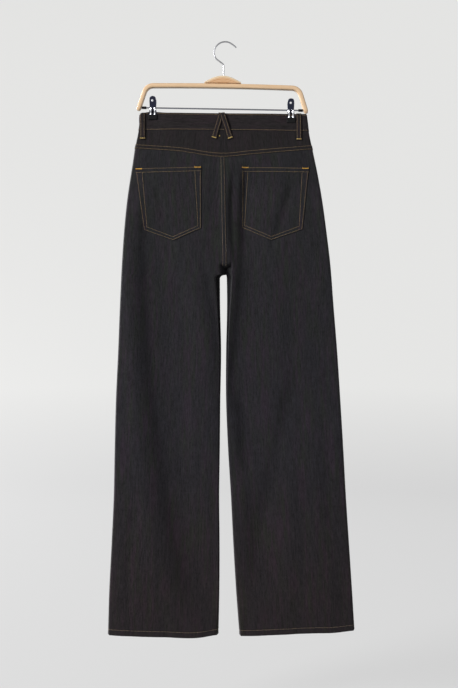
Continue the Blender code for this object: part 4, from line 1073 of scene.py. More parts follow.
def on_loop(loop, share, side):
    """X, Z and lift of a loop at a share of its length and a distance from its centre line."""
    top, foot = np.array(loop.top) * MM, np.array(loop.foot) * MM
    along = (foot - top) / np.linalg.norm(foot - top)
    across = top[0] + (foot[0] - top[0]) * share - along[1] * side
    height = top[1] + (foot[1] - top[1]) * share + along[0] * side
    band_top = column(BAND_TOP, "back" if loop.ply == BACK else "front", "across")(across)
    height = np.minimum(height, band_top + LOOP_OVER * (1 - share))
    lift = loop.lift_top + (loop.lift_foot - loop.lift_top) * ease((share - 0.4) / 0.5)
    lift = BAND_PROUD + lift * MM + LOOP_BOW * np.sin(math.pi * share) ** 2 + 0 * across
    return across, height, lift


for name, loop in LOOPS.items():
    share = edge_lines(LOOP_LENGTH, 1.8 * MM)[:, None]
    side = (edge_lines(LOOP_WIDTH, 1.2 * MM)[None, :] - 0.5) * LOOP_WIDTH
    across, height, lift = on_loop(loop, share, side)
    obj = patch(f"loop_{name}", loop.ply, across, height, lift, lift + LOOP_CLOTH,
                finish=BAND_DENIM)
    cloth_piece(obj, [f"belt_loop_{name}"])
print("belt loops:", len(LOOPS))

# %% Facings, fly and zip tape
FACING_WIDTH, FACING_HEIGHT = 96 * MM, 92 * MM
FLY_WIDTH, FLY_LENGTH, FLY_OVER = 38 * MM, 165 * MM, 3 * MM
FLY_STRAIGHT, FLY_ROUND = 0.72, 0.93
ZIP_WIDTH, ZIP_LENGTH, ZIP_X, TEETH_X = 26 * MM, 150 * MM, 1.5 * MM, 14.5 * MM
TEETH_TOP, TEETH_FOOT = 4 * MM, 146 * MM
UNDER_PANEL = -(DENIM + LAY_GAP + THIN_CLOTH)
centre_x = CENTRE(BAND_LEVEL)
front_seam = column(BAND_SEAM, "front", "across")
TAPE = Finish("Zip tape", Base_Color=(0.012, 0.012, 0.014, 1), Roughness=0.75)
across, along = TAPE.flat_place()
TAPE.bump((across * (2 * math.pi / (1.1 * MM))).math("SINE"), 0.3, 0.1 * MM)


def facing(name, half):
    """The cloth that shows inside a scooped opening."""
    shares = np.concatenate([np.linspace(0, 0.12, 9), np.linspace(0.12, 1, 26)[1:]])[None, :]
    down = edge_lines(FACING_HEIGHT, 3.5 * MM)[:, None]
    level = BAND_LEVEL - down * FACING_HEIGHT
    outer = OUTER[half](level)
    start = np.abs(across_at(half, SIDE_SEAM * 0.75, level) - outer)
    across = outer - half * (start + (FACING_WIDTH - start) * shares)
    height = front_seam(across) - 2 * SEAM_GAP - down * FACING_HEIGHT
    return patch(name, FRONT, across, height, UNDER_PANEL, UNDER_PANEL + THIN_CLOTH)


for word, half in HALVES.items():
    obj = facing(f"facing_cloth_{word}", half)
    cloth_piece(obj, [f"pocket_facing_{word}"])
down = edge_lines(FLY_LENGTH, 3.0 * MM)
into_foot = np.clip((down - FLY_STRAIGHT) / (1 - FLY_STRAIGHT), 0, 1)
span = FLY_WIDTH * np.sqrt(1 - FLY_ROUND * into_foot**2)[:, None]
across = centre_x + FLY_OVER - (span + FLY_OVER) * edge_lines(FLY_WIDTH, 2.4 * MM)[None, :]
height = front_seam(across) - GAP - FLY_LENGTH * down[:, None]
fly = patch("fly_cloth", FRONT, across, height, LAY_GAP, LAY_GAP + THIN_CLOTH)
cloth_piece(fly, ["fly_placket"])
down = edge_lines(ZIP_LENGTH, 5 * MM)[:, None]
across = centre_x - ZIP_X - ZIP_WIDTH * edge_lines(ZIP_WIDTH, 4 * MM)[None, :] + 0 * down
height = front_seam(across) - 2 * GAP - ZIP_LENGTH * down
tape = patch("zip_tape_cloth", FRONT, across, height, UNDER_PANEL, UNDER_PANEL + THIN_CLOTH,
             finish=TAPE.material)
cloth_piece(tape, ["zip_tape"])
print("facings, fly and zip tape made")

# %% [markdown]
# ## Topstitching
# Jeans are held together by rows of thick golden thread. There are thousands of stitches, so
# Geometry Nodes place them: a path on the cloth becomes a curve, is cut into even steps, and gets
# one small bead of thread at each step. Turned across the path and packed close, the same beads
# make a bar tack. The tree ends in Realize Instances and Set Material, so its mesh can be taken.

# %% The stitch tree
def thread(name, low, high):
    finish = Finish(name, Roughness=0.55, Specular_IOR_Level=0.3, Sheen_Weight=0.1)
    finish.feed("Base Color", finish.blend(finish.speckle(260, 2), low, high))
    return finish.material


def metal(name, colour, roughness):
    finish = Finish(name, Base_Color=(*colour, 1), Metallic=1.0)
    finish.feed("Roughness", finish.speckle(90, 4) * 0.12 + roughness)
    return finish.material


BRASS = metal("Aged brass", (0.42, 0.27, 0.12), 0.30)
THREAD = thread("Tobacco thread", (0.172, 0.112, 0.050), (0.365, 0.250, 0.122))
SEAT_THREAD = thread("Pale worn thread", (0.15, 0.108, 0.070), (0.31, 0.228, 0.152))
LOOP_THREAD = thread("Pale gold thread", (0.32, 0.21, 0.05), (0.52, 0.38, 0.12))
TACK_THREAD = thread("Golden tack thread", (0.46, 0.23, 0.018), (0.68, 0.38, 0.045))
STITCH_WOBBLE, STITCH_FLATNESS = 0.06, 0.8
SEWN_LIFT, PATH_STEP = 0.1 * MM, 1.2 * MM


def stitch_tree():
    group = bpy.data.node_groups.new("Row of stitches", "GeometryNodeTree")
    sockets = {"Path": "Geometry", "Pitch": "Float", "Length": "Float", "Thickness": "Float",
               "Turn": "Float", "Thread": "Material", "Seed": "Int"}
    for name, kind in sockets.items():
        group.interface.new_socket(name, in_out="INPUT", socket_type="NodeSocket" + kind)
    group.interface.new_socket("Stitches", in_out="OUTPUT", socket_type="NodeSocketGeometry")
    tree = Tree(group)
    given = tree.node("NodeGroupInput")
    curve = tree.node("GeometryNodeMeshToCurve", None, {0: given})
    even = tree.node("GeometryNodeResampleCurve", {"mode": "LENGTH"},
                     {"Curve": curve, "Length": given.other("Pitch")})
    up = tree.node("GeometryNodeInputNamedAttribute", {"data_type": "FLOAT_VECTOR"}, {0: "up"})
    ahead = tree.node("GeometryNodeInputTangent")
    turned = tree.node("FunctionNodeAlignRotationToVector", {"axis": "X"}, {"Vector": ahead})
    turned = tree.node("FunctionNodeAlignRotationToVector", {"axis": "Z", "pivot_axis": "X"},
                       {"Rotation": turned, "Vector": up})
    wobble = tree.node("FunctionNodeRandomValue", {"data_type": "FLOAT"},
                       {2: -STITCH_WOBBLE, 3: STITCH_WOBBLE, "Seed": given.other("Seed")}, 1)
    spin = tree.node("ShaderNodeCombineXYZ", None, {2: given.other("Turn") + wobble})
    spin = tree.node("FunctionNodeEulerToRotation", None, {0: spin})
    turned = tree.node("FunctionNodeRotateRotation", {"rotation_space": "LOCAL"},
                       {0: turned, 1: spin})
    bead = tree.node("GeometryNodeMeshUVSphere", None, {"Segments": 7, "Rings": 5, "Radius": 1})
    thick = given.other("Thickness") * 0.5
    size = tree.node("ShaderNodeCombineXYZ", None,
                     {0: given.other("Length") * 0.5, 1: thick, 2: thick * STITCH_FLATNESS})
    placed = tree.node("GeometryNodeInstanceOnPoints", None,
                       {"Points": even, "Instance": bead, "Rotation": turned, "Scale": size})
    real = tree.node("GeometryNodeRealizeInstances", None, {0: placed})
    real = tree.node("GeometryNodeSetMaterial", None, {0: real, "Material": given.other("Thread")})
    tree.node("NodeGroupOutput", None, {0: real})
    return group


STITCH_TREE = stitch_tree()
print("stitch tree nodes:", len(STITCH_TREE.nodes))


# %% Paths on the cloth
class Paths:
    """Lines over the cloth, each point with the way that is up from it."""

    def __init__(self):
        self.points, self.ups, self.edges = [], [], []

    def add(self, place, lift):
        """Points of place(lift), whose up is towards those of a higher lift."""
        points = place(lift)
        start = len(self.points)
        self.points += points.tolist()
        self.ups += unit(place(lift + MM) - points).tolist()
        self.edges += [(start + i, start + i + 1) for i in range(len(points) - 1)]

    def over(self, ply, corners, lift):
        """Straight stretches over a ply between corners given as X and Z in metres."""
        corners = np.array(corners, float)
        length = run_lengths(corners[:, None, :], 0)[:, 0]
        at = np.arange(0, length[-1], PATH_STEP)
        across = np.interp(at, length, corners[:, 0])
        height = np.interp(at, length, corners[:, 1])
        self.add(lambda raised: on_ply(ply, across, height, raised),
                 lift(height) if callable(lift) else lift)

    def level(self, ply, x, z, length, lift):
        """A level stretch over a ply."""
        self.over(ply, [(x, z), (x + length, z)], lift)

    def round_half(self, half, start, end, line, level, above, lift):
        """Along a half, between two places, at a distance above a measured line."""
        around = np.linspace(start, end, 160)
        around = around[np.abs(around) > 1e-6]
        height = line_height(line, half, around, level) + above
        self.add(lambda raised: cloth(half, around, height, raised), lift)

    def stitched(self, name, pitch, length, thickness, turn=0.0, seed=1, thread=THREAD,
                 slot="topstitch"):
        """Geometry Nodes turn the lines into stitches, and the modifier then becomes a mesh."""
        mesh = bpy.data.meshes.new(name)
        mesh.from_pydata(self.points, self.edges, [])
        up = mesh.attributes.new("up", "FLOAT_VECTOR", "POINT")
        up.data.foreach_set("vector", np.array(self.ups, np.float32).ravel())
        obj = linked(name, mesh)
        modifier = obj.modifiers.new("Stitches", "NODES")
        modifier.node_group = STITCH_TREE
        given = {"Pitch": pitch, "Length": length, "Thickness": thickness, "Turn": turn,
                 "Thread": thread, "Seed": seed}
        for socket in STITCH_TREE.interface.items_tree:
            if socket.name in given:
                modifier[socket.identifier] = given[socket.name]
        settle(obj)
        obj.data.shade_smooth()
        print(name, "faces:", len(obj.data.polygons))
        return hard_piece(obj, [])


TOPSTITCH = {"pitch": 3.1 * MM, "length": 2.7 * MM, "thickness": 0.74 * MM}
TACK = {"pitch": 0.42 * MM, "length": 2.3 * MM, "thickness": 0.62 * MM, "turn": math.radians(82)}

# %% Stitch the yoke, the seat, the hem and the waistband
seams, hem_rows, seat_rows = Paths(), Paths(), Paths()
for half in (LEFT, RIGHT):
    for above in (1.7 * MM, 8.2 * MM):
        seams.round_half(half, -SIDE_SEAM + 0.02, 0.995, YOKE_SEAM, YOKE_LEVEL, above,
                         WELT_RISE + SEWN_LIFT)
    for ply in (BACK, FRONT):
        hem_rows.round_half(half, ply * 0.012, ply * 0.985, HEM, HEM_LEVEL, HEM_STITCH, 0.0)
        end = 0.99 if ply == BACK or half == LEFT else 0.86
        rows = ((BAND_SEAM, BAND_LEVEL, 2.6 * MM), (BAND_TOP, TOP_LEVEL, -3 * MM))
        for line, level, above in rows:
            seams.round_half(half, ply * 0.004, ply * end, line, level, above,
                             BAND_PROUD + SEWN_LIFT / 2)
for off in (0.9 * MM, 7.3 * MM):
    heights = np.linspace(-243 * MM, -466 * MM, 80)
    line = np.stack([CENTRE(heights) - off, heights], axis=1)
    seat_rows.over(BACK, line, lambda height: seat_welt(off, height) + SEWN_LIFT)
seams.stitched("topstitch_seams", seed=3, **TOPSTITCH)
hem_rows.stitched("topstitch_hems", seed=6, thread=SEAT_THREAD, **TOPSTITCH)
seat_rows.stitched("topstitch_seat", seed=4, thread=SEAT_THREAD, **TOPSTITCH)

# %% Stitch the pockets and loops
# Millimetres in from the corners: at the mouth, at the inner side and up, up at the point, at the
# outer side and up.
PocketRow = namedtuple("PocketRow", "mouth inner inner_up point_up outer outer_up")
POCKET_ROWS = [PocketRow(1.8, 1.8, 1.4, 2.2, 1.8, 1.4), PocketRow(13.6, 6.6, 5.4, 8.0, 7.2, 6.6)]
LAID = POCKET_LIFT + POCKET_CLOTH
LOOP_ROW_INSET, LOOP_TACK_SHARE, LOOP_TACK_INSET = 2.0 * MM, 0.955, 1.0 * MM
pocket_rows, tacks, loop_tacks = Paths(), Paths(), Paths()
for pocket in POCKETS.values():
    top_in, top_out, side_in, side_out, point = (np.array(corner) * MM for corner in pocket)
    out = math.copysign(1, top_out[0] - top_in[0])
    corners = np.array([top_in, side_in, point, side_out, top_out])
    for row in POCKET_ROWS:
        inset = [(out * row.mouth, 0), (out * row.inner, row.inner_up), (0, row.point_up),
                 (-out * row.outer, row.outer_up), (-out * row.mouth, 0)]
        pocket_rows.over(BACK, corners + np.array(inset) * MM, LAID + SEWN_LIFT)
    for below in (2.0 * MM, 9.4 * MM):
        ends = [top_in + (out * 1.6 * MM, -below), top_out + (-out * 1.6 * MM, -below)]
        pocket_rows.over(BACK, ends, LAID + TOP_HEM_RISE)
    for (x, z), way in ((top_in, out), (top_out, -out)):
        tacks.level(BACK, x + way * 0.8 * MM, z - 1.9 * MM, way * 13.8 * MM, LAID + 0.75 * MM)
for loop in LOOPS.values():
    rows = [(np.linspace(0.03, 0.93, 60), side, 0.0, pocket_rows)
            for side in (LOOP_ROW_INSET - LOOP_WIDTH / 2, LOOP_WIDTH / 2 - LOOP_ROW_INSET)]
    tack = np.linspace(-0.5, 0.5, 12) * (LOOP_WIDTH - LOOP_TACK_INSET)
    rows.append((np.full(12, LOOP_TACK_SHARE), tack, SEWN_LIFT, loop_tacks))
    for share, side, raised, paths in rows:
        across, height, lift = on_loop(loop, share, side)
        paths.add(lambda above: on_ply(loop.ply, across, height, above), lift + LOOP_CLOTH + raised)
loop_tacks.over(BACK, [(-11.6 * MM, -197.2 * MM), (-11.2 * MM, -194.0 * MM)], 0.2 * MM)
pocket_rows.stitched("topstitch_pockets", seed=5, **TOPSTITCH)

# %% Stitch the front
front_rows, teeth = Paths(), Paths()
for half in (LEFT, RIGHT):
    for off in (2.2 * MM, 8.4 * MM):
        turn = np.radians(np.linspace(2, 86, 60))
        across = scoop_corner(half) - half * (SCOOP_WIDTH + off) * np.cos(turn)
        height = SCOOP_LEVEL - (SCOOP_HEIGHT + off) * np.sin(turn)
        keep = height < front_seam(across) - 1.0 * MM
        front_rows.over(FRONT, np.stack([across, height], axis=1)[keep], SEWN_LIFT)
    mouth = scoop_corner(half) - half * (SCOOP_WIDTH + 1.0 * MM)
    tacks.level(FRONT, mouth, front_seam(mouth) - 2 * MM, -half * 8 * MM, 0.25 * MM)
    side = bare_point(half, np.array(-SIDE_SEAM - 0.03), np.array(SCOOP_LEVEL - SCOOP_HEIGHT))
    tacks.level(FRONT, float(side[0]), float(side[2]) - 4 * MM, -half * 7 * MM, 0.25 * MM)
for off in (2.6 * MM, 9.0 * MM):
    down = np.linspace(0.02, 1, 80)
    into_foot = np.clip((down - FLY_STRAIGHT) / (1 - FLY_STRAIGHT), 0, 1)
    across = centre_x - (FLY_WIDTH - off) * np.sqrt(1 - into_foot**2) - 0.6 * MM
    height = front_seam(across) - (FLY_LENGTH - off) * down
    front_rows.over(FRONT, np.stack([across, height], axis=1), LAY_GAP + THIN_CLOTH + SEWN_LIFT)
for off in (1.8 * MM, 7.6 * MM):
    heights = np.linspace(-376 * MM, -470 * MM, 50)
    front_rows.over(FRONT, np.stack([CENTRE(heights) - off, heights], axis=1), SEWN_LIFT)
fly_foot = front_seam(centre_x) - FLY_LENGTH
tacks.level(FRONT, centre_x - 1.5 * MM, fly_foot + 2 * MM, -8 * MM, LAY_GAP + THIN_CLOTH + 0.2 * MM)
front_rows.stitched("topstitch_front", seed=7, **TOPSTITCH)
tape_top = front_seam(-16 * MM)
row = [(centre_x - TEETH_X, tape_top - down) for down in (TEETH_TOP, TEETH_FOOT)]
teeth.over(FRONT, row, UNDER_PANEL - 0.5 * MM)
teeth.stitched("zip_teeth", 1.9 * MM, 5.2 * MM, 1.3 * MM, turn=math.radians(90), seed=13,
               thread=BRASS, slot="aged_brass")
loop_tacks.stitched("loop_tacks", seed=8, thread=LOOP_THREAD, **TACK)
tacks.stitched("bar_tacks", seed=9, thread=TACK_THREAD, **TACK)

# %% [markdown]
# ## Round things: a loft through rings
# Wire, rod and bent wood are all rings of points joined one to the next. `loft` joins them and
# closes both ends, so each is one clean body. The flat place of a ring point is its place along the
# piece and round it, which wood grain needs. `lathe` turns a profile about an axis.

# %% Lofts and turned shapes
DOME_END = 0.08


def ring_faces(count, sides, closed=False):
    """Quads between rings of points; where closed, the last ring joins the first."""
    ring, side = np.meshgrid(np.arange(count - (not closed)), np.arange(sides), indexing="ij")
    above, ahead = (ring + 1) % count, (side + 1) % sides
    corners = [ring * sides + side, ring * sides + ahead, above * sides + ahead,
               above * sides + side]
    return np.stack(corners, axis=-1).reshape(-1, 4)


def loft(name, rings, finish):
    """A closed body through rings of points, with a centre point on each end."""
    rings = np.asarray(rings)
    count, sides = rings.shape[:2]
    ends = np.stack([rings[0].mean(axis=0), rings[-1].mean(axis=0)])
    points = np.concatenate([rings.reshape(-1, 3), ends])
    side = np.arange(sides)
    ahead, middle = (side + 1) % sides, np.full(sides, count * sides)
    last = (count - 1) * sides
    start = np.stack([ahead, side, middle, middle], axis=1)
    end = np.stack([side + last, ahead + last, middle + 1, middle + 1], axis=1)
    faces = np.concatenate([ring_faces(count, sides), start, end])
    along = run_lengths(rings, 0)
    flat = np.stack([run_lengths(rings, 1), along], axis=-1).reshape(-1, 2)
    flat = np.concatenate([flat, [[0, 0], [0, float(along.max())]]])
    return mesh_object(name, points, faces, flat, [finish], sharp=40)


def lathe(name, profile, steps, merge, finish, placed=Matrix()):
    """A profile of radii and heights, turned about Z, with its close points merged."""
    shape = bmesh.new()
    verts = [shape.verts.new((radius, 0, height)) for radius, height in profile]
    for first, second in zip(verts, verts[1:]):
        shape.edges.new((first, second))
    bmesh.ops.spin(shape, geom=shape.verts[:] + shape.edges[:], cent=(0, 0, 0), axis=(0, 0, 1),
                   angle=2 * math.pi, steps=steps, use_merge=True)
    bmesh.ops.remove_doubles(shape, verts=shape.verts[:], dist=merge)
    bmesh.ops.transform(shape, matrix=placed, verts=shape.verts[:])
    bmesh.ops.recalc_face_normals(shape, faces=shape.faces[:])
    mesh = bpy.data.meshes.new(name)
    shape.to_mesh(mesh)
    shape.free()
    mesh.materials.append(finish)
    mesh.shade_smooth()
    mesh.set_sharp_from_angle(angle=math.radians(45))
    return linked(name, mesh)


def circle(sides):
    turn = np.linspace(0, 2 * math.pi, sides, endpoint=False)
    return np.stack([np.cos(turn), np.sin(turn)], axis=1)


def rounded_bar(width, depth, edge, steps=4):
    """Points round a rectangle with rounded corners, about its middle."""
    corners = []
    for sx, sy, start in ((1, 1, 0), (-1, 1, 90), (-1, -1, 180), (1, -1, 270)):
        turn = np.radians(start + np.linspace(0, 90, steps + 1))
        middle = np.array([sx * (width / 2 - edge), sy * (depth / 2 - edge)])
        corners.append(middle + edge * np.stack([np.cos(turn), np.sin(turn)], axis=1))
    return np.concatenate(corners)


def along_line(line, section):
    """Rings of a section carried along a line; each section is scaled by its own size."""
    line = np.asarray(line, float)
    ahead = unit(np.gradient(line, axis=0))
    side = unit(np.cross(ahead, (0, 1, 0)))
    over = np.cross(side, ahead)
    section = np.broadcast_to(section, (len(line),) + np.shape(section)[-2:])
    return line[:, None] + section[..., :1] * side[:, None] + section[..., 1:] * over[:, None]


def round_ended(line, radius, steps=5):
    """A line with points added at its ends, and a radius that closes there like a dome."""
    line = np.asarray(line, float)
    sweep = 1 - np.cos(np.linspace(0, math.pi / 2, steps))
    grow = np.sqrt(1 - (1 - sweep) ** 2)
    head = line[0] + unit(line[1] - line[0]) * (sweep * radius)[:, None]
    tail = line[-1] + unit(line[-2] - line[-1]) * (sweep * radius)[::-1, None]
    inside = [p for p in line[1:-1] if np.linalg.norm(p - line[0]) > radius * 1.1
              and np.linalg.norm(p - line[-1]) > radius * 1.1]
    sizes = np.concatenate([grow, np.ones(len(inside)), grow[::-1]])
    return np.concatenate([head, inside, tail]), np.maximum(sizes, DOME_END) * radius


def softened(points, rounds):
    """A line with its corners cut again and again, which turns it into a smooth curve."""
    points = np.asarray(points, float)
    for _ in range(rounds):
        near = points[:-1] * 0.75 + points[1:] * 0.25
        far = points[:-1] * 0.25 + points[1:] * 0.75
        middle = np.stack([near, far], axis=1).reshape(-1, points.shape[1])
        points = np.concatenate([points[:1], middle, points[-1:]])
    return points


print("loft tools ready")

# %% [markdown]
# ## Wood, metal and rubber
# The hanger is bent pine under a clear satin lacquer, with fine grain along its length. The crown
# is a glued lens of redder wood under a pale strip. Hook and rod are bright steel. The clips are
# pressed steel whose colour is painted light: a dark tab as a painted reflection, a painted
# highlight on its stud, and bright painted reflections on the ribs below.

# %% Hanger finishes
LACQUER = {"Roughness": 0.42, "Specular_IOR_Level": 0.45, "Coat_Weight": 0.25,
           "Coat_Roughness": 0.25}
# The clip's plate: its ribs to each side of the middle, and the stud of its spring above.
RIB_PLACE, RIB_WIDTH, STUD_PLACE, STUD_HEIGHT = 4.2 * MM, 1.1 * MM, 0.8 * MM, 13.5 * MM


def pine():
    finish = Finish("Pale pine", **LACQUER)
    across, along = finish.flat_place()
    broad = finish.grain(across, along, 2.6 * MM, 90 * MM)
    fine = finish.grain(across, along, 0.5 * MM, 22 * MM, 5.0, 3.0)
    wood = finish.blend(broad, (0.73, 0.475, 0.265), (0.89, 0.645, 0.415))
    finish.feed("Base Color", finish.scaled(wood, 0.82 + fine * 0.36))
    finish.bump(fine, 0.12, 0.1 * MM)
    return finish.material


def clip_steel_with_painted_reflections():
    """Painted reflections: dark tab, bright ribs below, highlight on the stud; flat place is across
    and up the plate.
    """
    finish = Finish("Clip steel", Metallic=1.0)
    across, up = finish.flat_place()
    # The steel's colour is painted light: dark above the rod as a painted reflection, bright ribs
    # below.
    above = ((up + 0.5 * MM) * 900).clipped()
    rib = (across.math("ABSOLUTE") - RIB_PLACE).math("ABSOLUTE")
    # bright: the painted reflection along each rib.
    bright = (1.7 - rib * (1 / RIB_WIDTH)).clipped()
    plate = finish.blend(bright, (0.03, 0.031, 0.042), (0.74, 0.75, 0.80))
    aside, over = across + STUD_PLACE, up - STUD_HEIGHT
    from_stud = (aside * aside + over * over).math("SQRT")
    # stud: a painted highlight on the spring's stud, set into the dark tab.
    stud = (2.6 - from_stud * (1 / (1.0 * MM))).clipped()
    tab = finish.blend(stud, (0.032, 0.036, 0.060), (0.90, 0.90, 0.92))
    finish.feed("Base Color", finish.blend(above, plate, tab))
    worn = finish.grain(across, up, 1.5 * MM, 1.5 * MM)
    finish.feed("Roughness", worn * 0.15 + 0.14)
    return finish.material


def rubber():
    finish = Finish("Black rubber", Base_Color=(0.0022, 0.0022, 0.0026, 1), Roughness=0.45,
                    Specular_IOR_Level=0.2)
    finish.bump(finish.speckle(1400, 2), 0.25, 0.1 * MM)
    return finish.material


PINE = pine()
STEEL = metal("Bright steel", (0.30, 0.31, 0.35), 0.20)
HOOK_STEEL = metal("Hook steel", (0.34, 0.34, 0.36), 0.36)
CLIP_STEEL_PAINTED_REFLECTIONS = clip_steel_with_painted_reflections()
RUBBER = rubber()
print("hanger finishes:", PINE.name, STEEL.name, CLIP_STEEL_PAINTED_REFLECTIONS.name, RUBBER.name, BRASS.name)

# %% Bow, crown, hook and rod
HANGER_CENTRE, HANGER_TILT = (-5 * MM, -92.5 * MM), math.radians(-1.0)
BOW_HALF_BAR, BOW_ARCH, BOW_DROP = 143.6 * MM, 1.6 * MM, 52 * MM
BOW_CORNER_RADIUS, BOW_ARM_ANGLE = 20 * MM, math.radians(72)
BOW_HEIGHT, BOW_DEPTH, BOW_EDGE, BOW_END = 9.5 * MM, 13 * MM, 2.8 * MM, 6 * MM
CROWN_HALF_WIDTH, CROWN_RISE, CROWN_TIP, CROWN_DEPTH = 38 * MM, 13.2 * MM, 2.2 * MM, 15 * MM
CROWN_EDGE, CROWN_FOOT = 1.4 * MM, BOW_ARCH + BOW_HEIGHT / 2 + GAP
HOOK_WIRE, HOOK_RADIUS, HOOK_SHANK_X = 3 * MM, 22.8 * MM, -2.9 * MM
ROD_WIRE, ROD_DROP, ROD_BORE_DEPTH = 3 * MM, 46 * MM, 3 * MM
AWAY = np.array([0, 1, 0])


def on_hanger(points):
    """Points of the hanger's own upright frame, tilted as it hangs. X and Z, or X, Y and Z."""
    points = np.asarray(points, float)
    x, z = points[..., 0], points[..., -1]
    y = points[..., 1] if points.shape[-1] == 3 else 0 * x
    cos, sin = math.cos(HANGER_TILT), math.sin(HANGER_TILT)
    return np.stack([HANGER_CENTRE[0] + x * cos - z * sin, y,
                     HANGER_CENTRE[1] + x * sin + z * cos], axis=-1)


def bow_centre_line():
    """Right half of the bow: an arched bar, a round corner and a slanting arm."""
    share = np.linspace(0, 1, 40)
    bar = np.stack([BOW_HALF_BAR * share, BOW_ARCH * (1 - share**2)], axis=1)
    turn = np.linspace(0, BOW_ARM_ANGLE, 24)[1:]
    corner = np.stack([BOW_HALF_BAR + BOW_CORNER_RADIUS * np.sin(turn),
                       -BOW_CORNER_RADIUS * (1 - np.cos(turn))], axis=1)
    length = (BOW_DROP + corner[-1, 1]) / math.sin(BOW_ARM_ANGLE)
    down = np.array([math.cos(BOW_ARM_ANGLE), -math.sin(BOW_ARM_ANGLE)])
    arm = corner[-1] + down * length * np.linspace(0, 1, 12)[1:, None]
    return np.concatenate([bar, corner, arm])


right = bow_centre_line()
line = np.concatenate([right[::-1] * (-1, 1), right[1:]])
line = np.stack([line[:, 0], 0 * line[:, 0], line[:, 1]], axis=1)
to_end = run_lengths(line[:, None], 0)[:, 0]
to_end = np.minimum(to_end, to_end[-1] - to_end)
size = 0.55 + 0.45 * quarter_round(to_end / BOW_END)
section = rounded_bar(BOW_HEIGHT, BOW_DEPTH, BOW_EDGE)[None] * size[:, None, None]
bow = loft("bow_wood", on_hanger(along_line(line, section)), PINE)
hard_piece(bow, ["hanger_bow"])

share = np.sin(np.linspace(-math.pi / 2, math.pi / 2, 48))
tall = CROWN_TIP + CROWN_RISE * np.cos(share * math.pi / 2)
tall = tall * (0.15 + 0.85 * quarter_round((1 - np.abs(share)) / 0.03))
rings = []
for x, height in zip(CROWN_HALF_WIDTH * share, tall):
    bar = rounded_bar(CROWN_DEPTH, height, min(CROWN_EDGE, height * 0.42))
    up = CROWN_FOOT + height / 2 + bar[:, 1]
    rings.append(np.stack([np.full(len(bar), x), bar[:, 0], up], axis=1))


def lens_wood():
    """Redder glued layers under a pale strip; reads the place in the hanger's plane."""
    finish = Finish("Laminated pine", **LACQUER)
    x = finish.split(finish.place())
    across = (x - HANGER_CENTRE[0]) * (math.pi / 2 / CROWN_HALF_WIDTH)
    up = x.other(2) - (HANGER_CENTRE[1] + CROWN_FOOT)
    depth = across.math("COSINE") * CROWN_RISE + CROWN_TIP - up
    strip = (2.6 - depth * (1 / (1.9 * MM))).clipped()
    grain = finish.grain(depth, x, 1.5 * MM, 60 * MM, 2.0, 3.0)
    layers = (depth * (2 * math.pi / (3.1 * MM)) + grain * 5).math("SINE") * 0.5 + 0.5
    red = finish.blend(layers, (0.58, 0.29, 0.125), (0.86, 0.55, 0.31))
    pale = finish.blend(grain, (0.78, 0.56, 0.34), (0.94, 0.75, 0.51))
    finish.feed("Base Color", finish.blend(strip, red, pale))
    return finish.material


crown = loft("crown_wood", on_hanger(np.array(rings)), lens_wood())
hard_piece(crown, ["hanger_crown"])

centre_z = HOOK_WIRE / 2 - HOOK_RADIUS
turns = np.radians(np.linspace(58, 208, 60))
path = [(23.4 * MM, -10.8 * MM), (18.0 * MM, -5.9 * MM)]
path += [(HOOK_RADIUS * math.cos(t), centre_z + HOOK_RADIUS * math.sin(t)) for t in turns]
path += [(-17.6 * MM, -35.0 * MM), (-5.6 * MM, -43.8 * MM), (-3.6 * MM, -45.9 * MM)]
path += [(HOOK_SHANK_X, z * MM) for z in (-48.8, -60, -83)]
path = softened([(x, 0, z) for x, z in path], 2)
path, radii = round_ended(path, HOOK_WIRE / 2)
hook = loft("hook_wire", along_line(path, circle(16)[None] * radii[:, None, None]), HOOK_STEEL)
hard_piece(hook, ["hanger_hook"])

# The arms' inner faces at the rod's height, and the rod in its bores.
arm_face = BOW_HALF_BAR + BOW_CORNER_RADIUS * math.sin(BOW_ARM_ANGLE)
arm_face += (ROD_DROP - BOW_CORNER_RADIUS * (1 - math.cos(BOW_ARM_ANGLE))) / math.tan(BOW_ARM_ANGLE)
arm_face -= BOW_HEIGHT / 2 / math.sin(BOW_ARM_ANGLE)
reach = arm_face + ROD_BORE_DEPTH
ends = on_hanger([(-reach, -ROD_DROP), (reach, -ROD_DROP)])
rod_line = ends[0] + (ends[1] - ends[0]) * np.linspace(0, 1, 40)[:, None]
rod = loft("rod_wire", along_line(rod_line, circle(16) * ROD_WIRE / 2), STEEL)
hard_piece(rod, ["hanger_rod"])
print("bow, crown, hook and rod made")

# %% [markdown]
# ## Stoppers and spring clips
# A short rubber sleeve by each arm keeps the clips on the rod. Each clip is two pressed jaws that a
# coil spring on the rod pushes together, with a ribbed rubber pad at each tip. The jaws are plates
# with a rounded finger tab, a waist at the rod and two ribs, so each is a wall from a small grid.

# %% Stoppers
STOPPER_LENGTH, STOPPER_DIAMETER, STOPPER_EDGE, STOPPER_GAP = 9.5 * MM, 5.6 * MM, 0.5 * MM, 0.6 * MM
rod_way, rod_middle = unit(ends[1] - ends[0]), (ends[0] + ends[1]) / 2


def rod_spokes(turn):
    """Directions out from the rod, at these turns round it."""
    return np.cos(turn)[:, None] * np.cross(rod_way, AWAY) + np.sin(turn)[:, None] * AWAY


def sleeve(name, start, end, outer, bore, edge, finish):
    """A turned tube on the rod: a closed ring of rings, with rounded outer edges."""
    corner = np.radians([0, 30, 60, 90])
    high = outer / 2 - edge + edge * np.cos(corner)
    first = np.stack([start + edge - edge * np.sin(corner), high], axis=1)[::-1]
    second = np.stack([end - edge + edge * np.sin(corner), high], axis=1)
    profile = np.concatenate([first, second, [(end, bore / 2), (start, bore / 2)]])
    spokes = rod_spokes(np.linspace(0, 2 * math.pi, 32, endpoint=False))
    points = rod_middle + profile[:, None, :1] * rod_way + profile[:, None, 1:] * spokes
    flat = np.stack([run_lengths(points, 1), run_lengths(points, 0)], axis=-1).reshape(-1, 2)
    faces = ring_faces(*points.shape[:2], closed=True)
    return mesh_object(name, points.reshape(-1, 3), faces, flat, [finish])


